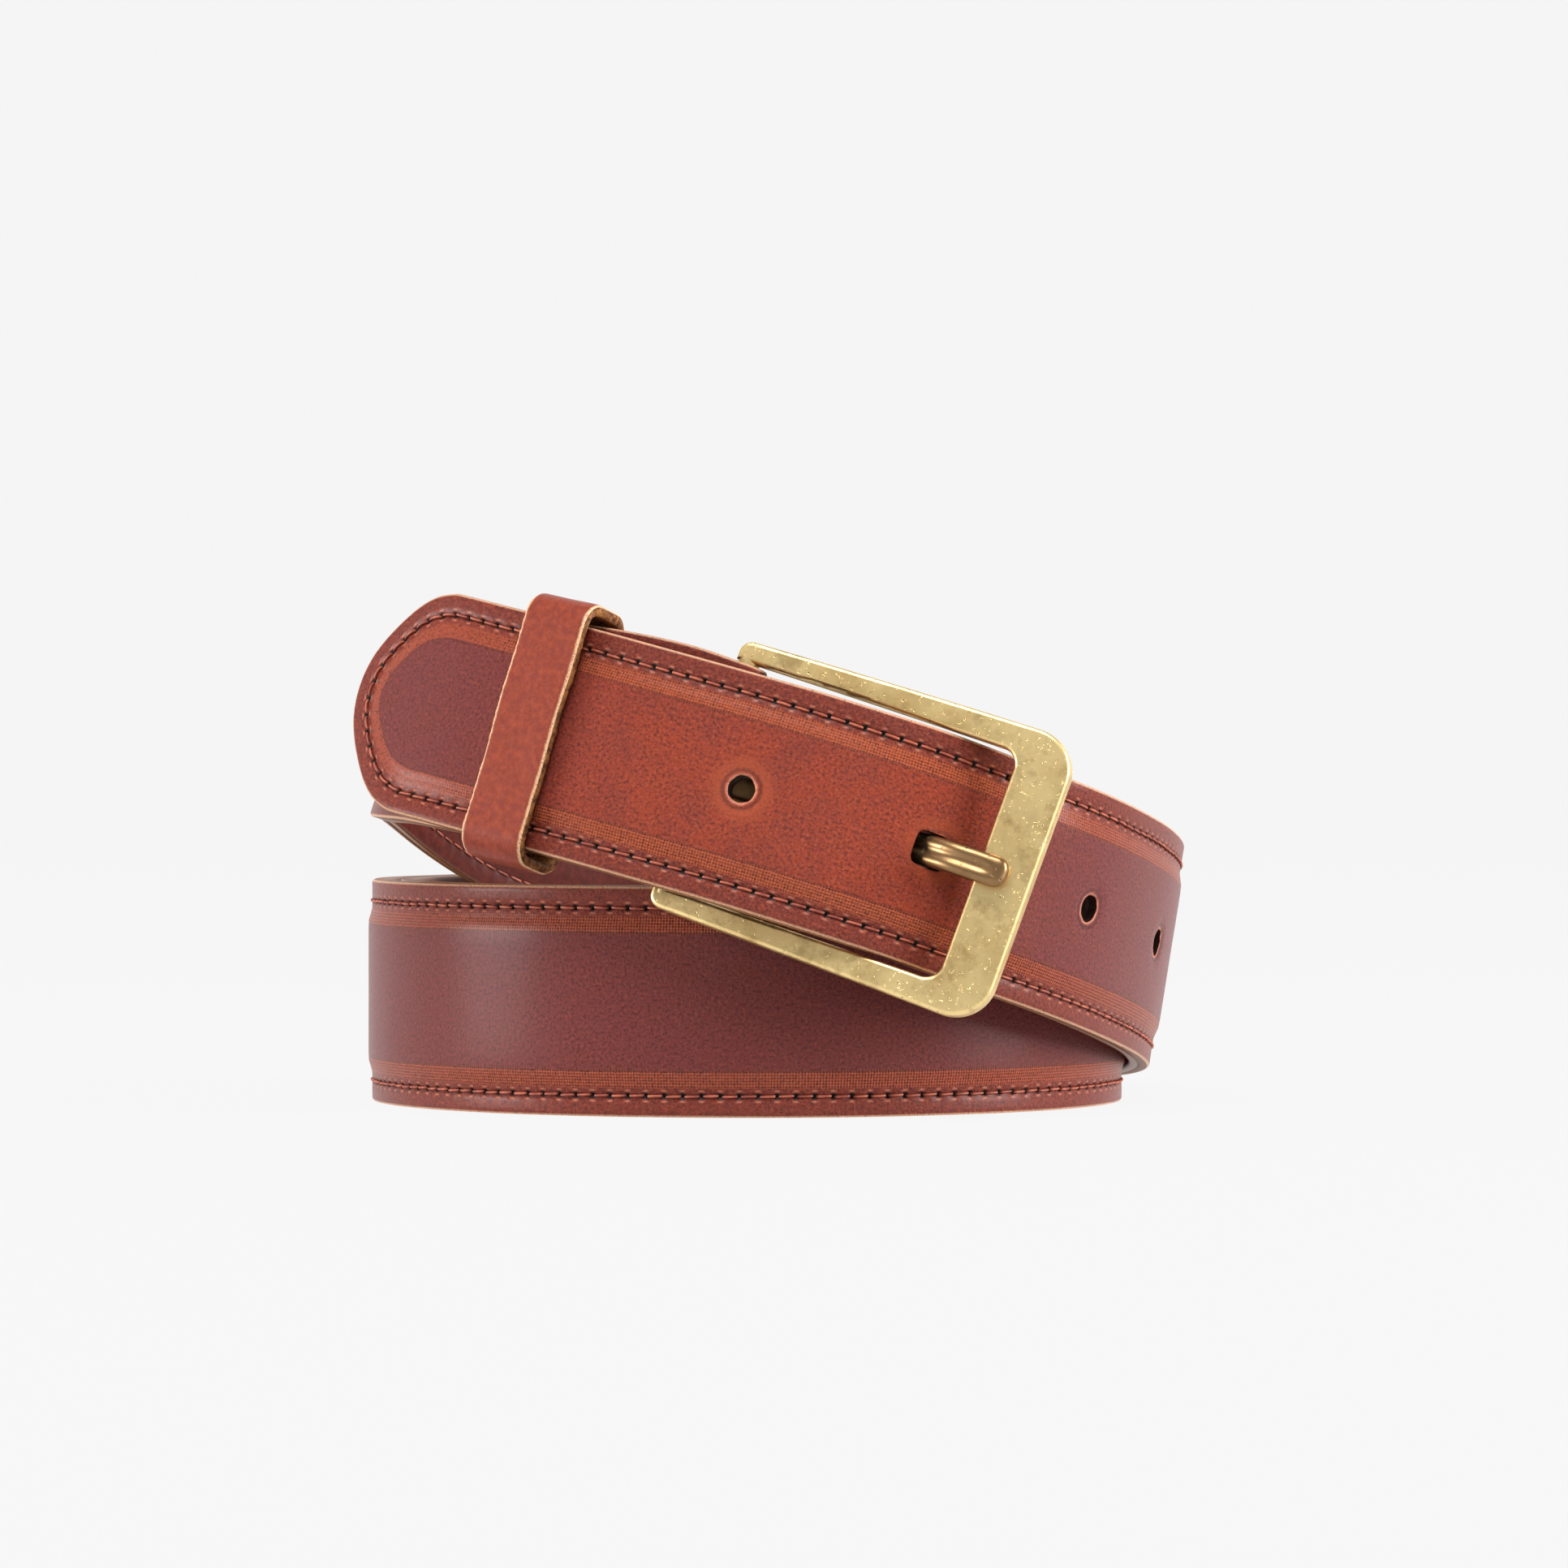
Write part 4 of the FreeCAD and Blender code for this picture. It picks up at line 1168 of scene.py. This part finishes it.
def keeper_leather():
    """Brighter orange-brown leather with rough golden cut edges."""
    s = Leather("keeper_leather")
    mottle = s.noise(0.9, 6.0, 0.7, s.flat)
    fine = s.noise(3.6, 5.0, 0.75, s.flat)
    colour = s.mix(s.ramp(mottle, 0.35, 0.7), srgb(116, 40, 24), srgb(142, 58, 32))
    worn = s.times(s.less(s.inset, 0.2, 0.6), s.ramp(fine, 0.35, 0.5))
    colour = s.mix(worn, colour, srgb(220, 176, 136))
    fibre = s.mix(s.ramp(s.noise(800.0, 3.0, 0.8), 0.35, 0.65), srgb(74, 38, 18), srgb(158, 102, 54))
    colour = s.show_cuts(colour, fibre)
    normal = s.bump(fine, 0.8, 0.00014)
    normal = s.bump(s.noise(0.35, 4.0, 0.6, s.flat), 0.5, 0.0006, normal)
    normal = s.bump(s.times(s.is_raw, s.noise(1400.0, 3.0, 0.8)), 1.0, 0.0004, normal)
    rough = s.math("ADD", 0.36, s.times(mottle, 0.18))
    return s.waxed(colour, s.math("ADD", rough, s.times(s.is_raw, 0.35)), normal)


def thread_material():
    s = Shader("waxed_thread")
    tone = s.noise(500.0, 3.0, 0.6)
    colour = s.mix(s.ramp(tone, 0.35, 0.65), srgb(122, 50, 34), srgb(166, 84, 58))
    return s.finish(colour, 0.5, s.bump(s.noise(2600.0, 2.0, 0.6), 0.5, 0.00008))


def filler_material():
    s = Shader("pressed_fibre")
    tone = s.noise(700.0, 4.0, 0.7)
    colour = s.mix(s.ramp(tone, 0.35, 0.65), srgb(44, 22, 14), srgb(70, 36, 22))
    return s.finish(colour, 0.85, s.bump(tone, 0.6, 0.0002))


def brass(name, light, dark, rough):
    """Cast brass rubbed bright on its faces, with fine scratches and dark pits."""
    s = Shader(name)
    cloud = s.noise(70.0, 5.0, 0.6)
    tarnish = s.noise(420.0, 6.0, 0.7)
    colour = s.mix(s.ramp(cloud, 0.35, 0.7), srgb(*light), srgb(*dark))
    colour = s.mix(s.times(s.ramp(tarnish, 0.5, 0.75), 0.5), colour, srgb(132, 96, 56))
    patch = s.times(s.ramp(s.noise(150.0, 4.0, 0.7), 0.5, 0.72), 0.5)
    colour = s.mix(patch, colour, srgb(150, 116, 66))
    stretched = s.node("ShaderNodeMapping", {"Vector": s.where(), "Scale": (900.0, 900.0, 60.0)})
    stretched.inputs["Rotation"].default_value = (0.3, 0.5, 0.2)
    streaks = {"Vector": stretched.outputs[0], "Scale": 1.0, "Detail": 3.0}
    scratch = s.node("ShaderNodeTexNoise", streaks).outputs["Fac"]
    pit = s.ramp(s.noise(1500.0, 3.0, 0.6), 0.63, 0.72)
    colour = s.mix(s.times(pit, 0.7), colour, srgb(84, 56, 36))
    normal = s.bump(scratch, 0.25, 0.00004)
    normal = s.bump(s.noise(260.0, 3.0, 0.5), 0.35, 0.00012, normal)
    normal = s.bump(pit, 0.6, -0.00008, normal)
    return s.finish(colour, s.math("ADD", rough, s.times(tarnish, 0.22)), normal, Metallic=1.0)


def steel_material():
    s = Shader("staple_wire")
    tone = s.noise(600.0, 3.0, 0.6)
    colour = s.mix(s.ramp(tone, 0.3, 0.7), srgb(176, 174, 170), srgb(134, 130, 124))
    return s.finish(colour, 0.32, s.bump(tone, 0.3, 0.00005), Metallic=1.0)


# ------------------------------------------------------------------ build the belt
def punch(piece):
    """Cuts the free holes, the prong's passage and the slot for its eye."""
    cutters = [hole_cutter(place) for n, place in enumerate(HOLE_PLACES) if n != PRONG_HOLE]
    cut(piece, cutters + [prong_passage_cutter(), slot_cutter()])


def build_grain(material):
    """The grain layer, from the tip to the end of the flap."""
    runs = stitch_runs(run_of(HEEL + FOLD_LENGTH + FLAP_LENGTH), STITCH_STEPS)
    piece = layer_mesh(
        "strap_grain",
        runs,
        (GRAIN_INSETS, CENTRE_SHARES),
        grain_height,
        lambda place, inset: GRAIN_BACK + padding_at(place, inset),
        [0.0, PADDING_FOOT, PADDING_FOOT + PADDING_SLOPE, BORDER],
        material,
        "strap_outer",
    )
    punch(clean(piece))


def lining_face(place, across, inset, run):
    """The lining's outer face, as a depth below the middle line."""
    depth = LINING_BACK + rounded(inset, 0.4)
    line = inset - STITCH_INSET
    groove = 0.06 * bell(line, 0.35) + 0.3 * bell(line, 0.3) * bell(from_needle(run), 0.35)
    return depth + groove * (place < HEEL - BACK_SEAM_STOP)


def build_lining(material):
    """The lining, from the tip to just before the fold."""
    runs = stitch_runs(run_of(HEEL - LINING_STOP), STITCH_STEPS)
    piece = layer_mesh(
        "strap_backing",
        runs,
        (LINING_INSETS, LINING_SHARES),
        lining_face,
        lambda place, inset: LINING_BACK + LINING_THICK + 0 * place,
        [0.0, BORDER],
        material,
        "strap_lining",
    )
    punch(clean(piece))


def paint(node, material):
    """Gives a CAD node that is kept its finished material."""
    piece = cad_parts[node]
    piece.data.materials.clear()
    piece.data.materials.append(material)


def build_belt():
    build_grain(grain_leather())
    build_lining(lining_leather())
    thread = thread_material()
    top_face = GRAIN_BACK + GRAIN_THICK
    edge_stitches("top_stitches", HEEL - TOP_SEAM_STOP, top_face, 1.0, thread, "top_thread")
    edge_stitches("back_stitches", HEEL - BACK_SEAM_STOP, LINING_BACK, -1.0, thread, "bobbin_thread")
    fold_stitches(thread)
    keeper_piece(keeper_leather())
    keeper_staples(steel_material())
    # The prong is the frame's brass painted darker and browner: painted shade and painted reflection of
    # the leather
    prong_piece(brass("prong_brass", (150, 118, 82), (100, 74, 50), 0.26))
    paint("buckle_frame", brass("frame_brass", (252, 224, 160), (224, 192, 130), 0.27))
    paint("strap_filler", filler_material())


# --------------------------------------------------------------- floor, light, camera
PAPER_GLOW = 0.9
SKY_STRENGTH = 0.4
WHITE = (1.0, 1.0, 1.0, 1.0)
# name, place in metres, width and height, watts
LIGHTS = [
    ("left_softbox", (-1.5, -0.25, 0.17), (0.7, 0.3), 21.0),
    ("right_softbox", (1.5, -0.3, 0.4), (0.7, 0.9), 42.0),
    ("top_softbox", (-0.2, -0.9, 1.7), (1.1, 0.7), 38.0),
]
SWEEP_RADIUS = 1.5
SWEEP_START = 4.0
CAMERA_PLACE = (0.001996, -1.19276, 0.0597)
CAMERA_DROP = 0.4675
CAMERA_LENS = 173.55


def studio():
    """A pale floor and backdrop in one sweep, a soft white sky and three large lights."""
    profile = [(-3.0, 0.0), (SWEEP_START, 0.0)]
    for a in np.linspace(0.2, math.pi / 2, 8):
        y, z = SWEEP_START + math.sin(a) * SWEEP_RADIUS, SWEEP_RADIUS - math.cos(a) * SWEEP_RADIUS
        profile.append((y, z))
    profile.append((SWEEP_START + SWEEP_RADIUS, 9.0))
    points = [(x, y, z) for y, z in profile for x in (-9.0, 9.0)]
    faces = [(2 * i, 2 * i + 1, 2 * i + 3, 2 * i + 2) for i in range(len(profile) - 1)]
    mesh = bpy.data.meshes.new("sweep")
    mesh.from_pydata(points, [], faces)
    mesh.polygons.foreach_set("use_smooth", [True] * len(faces))
    floor = bpy.data.objects.new("sweep", mesh)
    bpy.context.scene.collection.objects.link(floor)
    s = Shader("pale_paper")
    tone = s.mix(s.noise(3.0, 2.0), (0.017, 0.017, 0.017, 1.0), (0.018, 0.018, 0.018, 1.0))
    glow = {"Emission_Color": WHITE, "Emission_Strength": PAPER_GLOW, "Specular_IOR_Level": 0.0}
    mesh.materials.append(s.finish(tone, 0.9, **glow))

    world = bpy.data.worlds.new("sky")
    world.use_nodes = True
    sky = world.node_tree.nodes["Background"]
    sky.inputs["Color"].default_value = WHITE
    sky.inputs["Strength"].default_value = SKY_STRENGTH
    bpy.context.scene.world = world
    bpy.context.scene.view_settings.view_transform = "Standard"
    for name, place, size, power in LIGHTS:
        light = bpy.data.lights.new(name, "AREA")
        light.shape = "RECTANGLE"
        light.size, light.size_y = size
        light.energy = power
        lamp = bpy.data.objects.new(name, light)
        bpy.context.scene.collection.objects.link(lamp)
        lamp.location = place
        toward = Vector((0.0, 0.0, 0.045)) - lamp.location
        lamp.rotation_euler = toward.to_track_quat("-Z", "Y").to_euler()


def camera():
    """Level with the coil's middle, straight in front of the buckle, from a long way off."""
    lens = bpy.data.cameras.new("camera")
    lens.lens = CAMERA_LENS
    lens.sensor_width = 36.0
    lens.clip_start = 0.01
    viewer = bpy.data.objects.new("camera", lens)
    bpy.context.scene.collection.objects.link(viewer)
    viewer.location = CAMERA_PLACE
    viewer.rotation_euler = (math.radians(90 - CAMERA_DROP), 0.0, 0.0)
    bpy.context.scene.camera = viewer


build_belt()
studio()
camera()
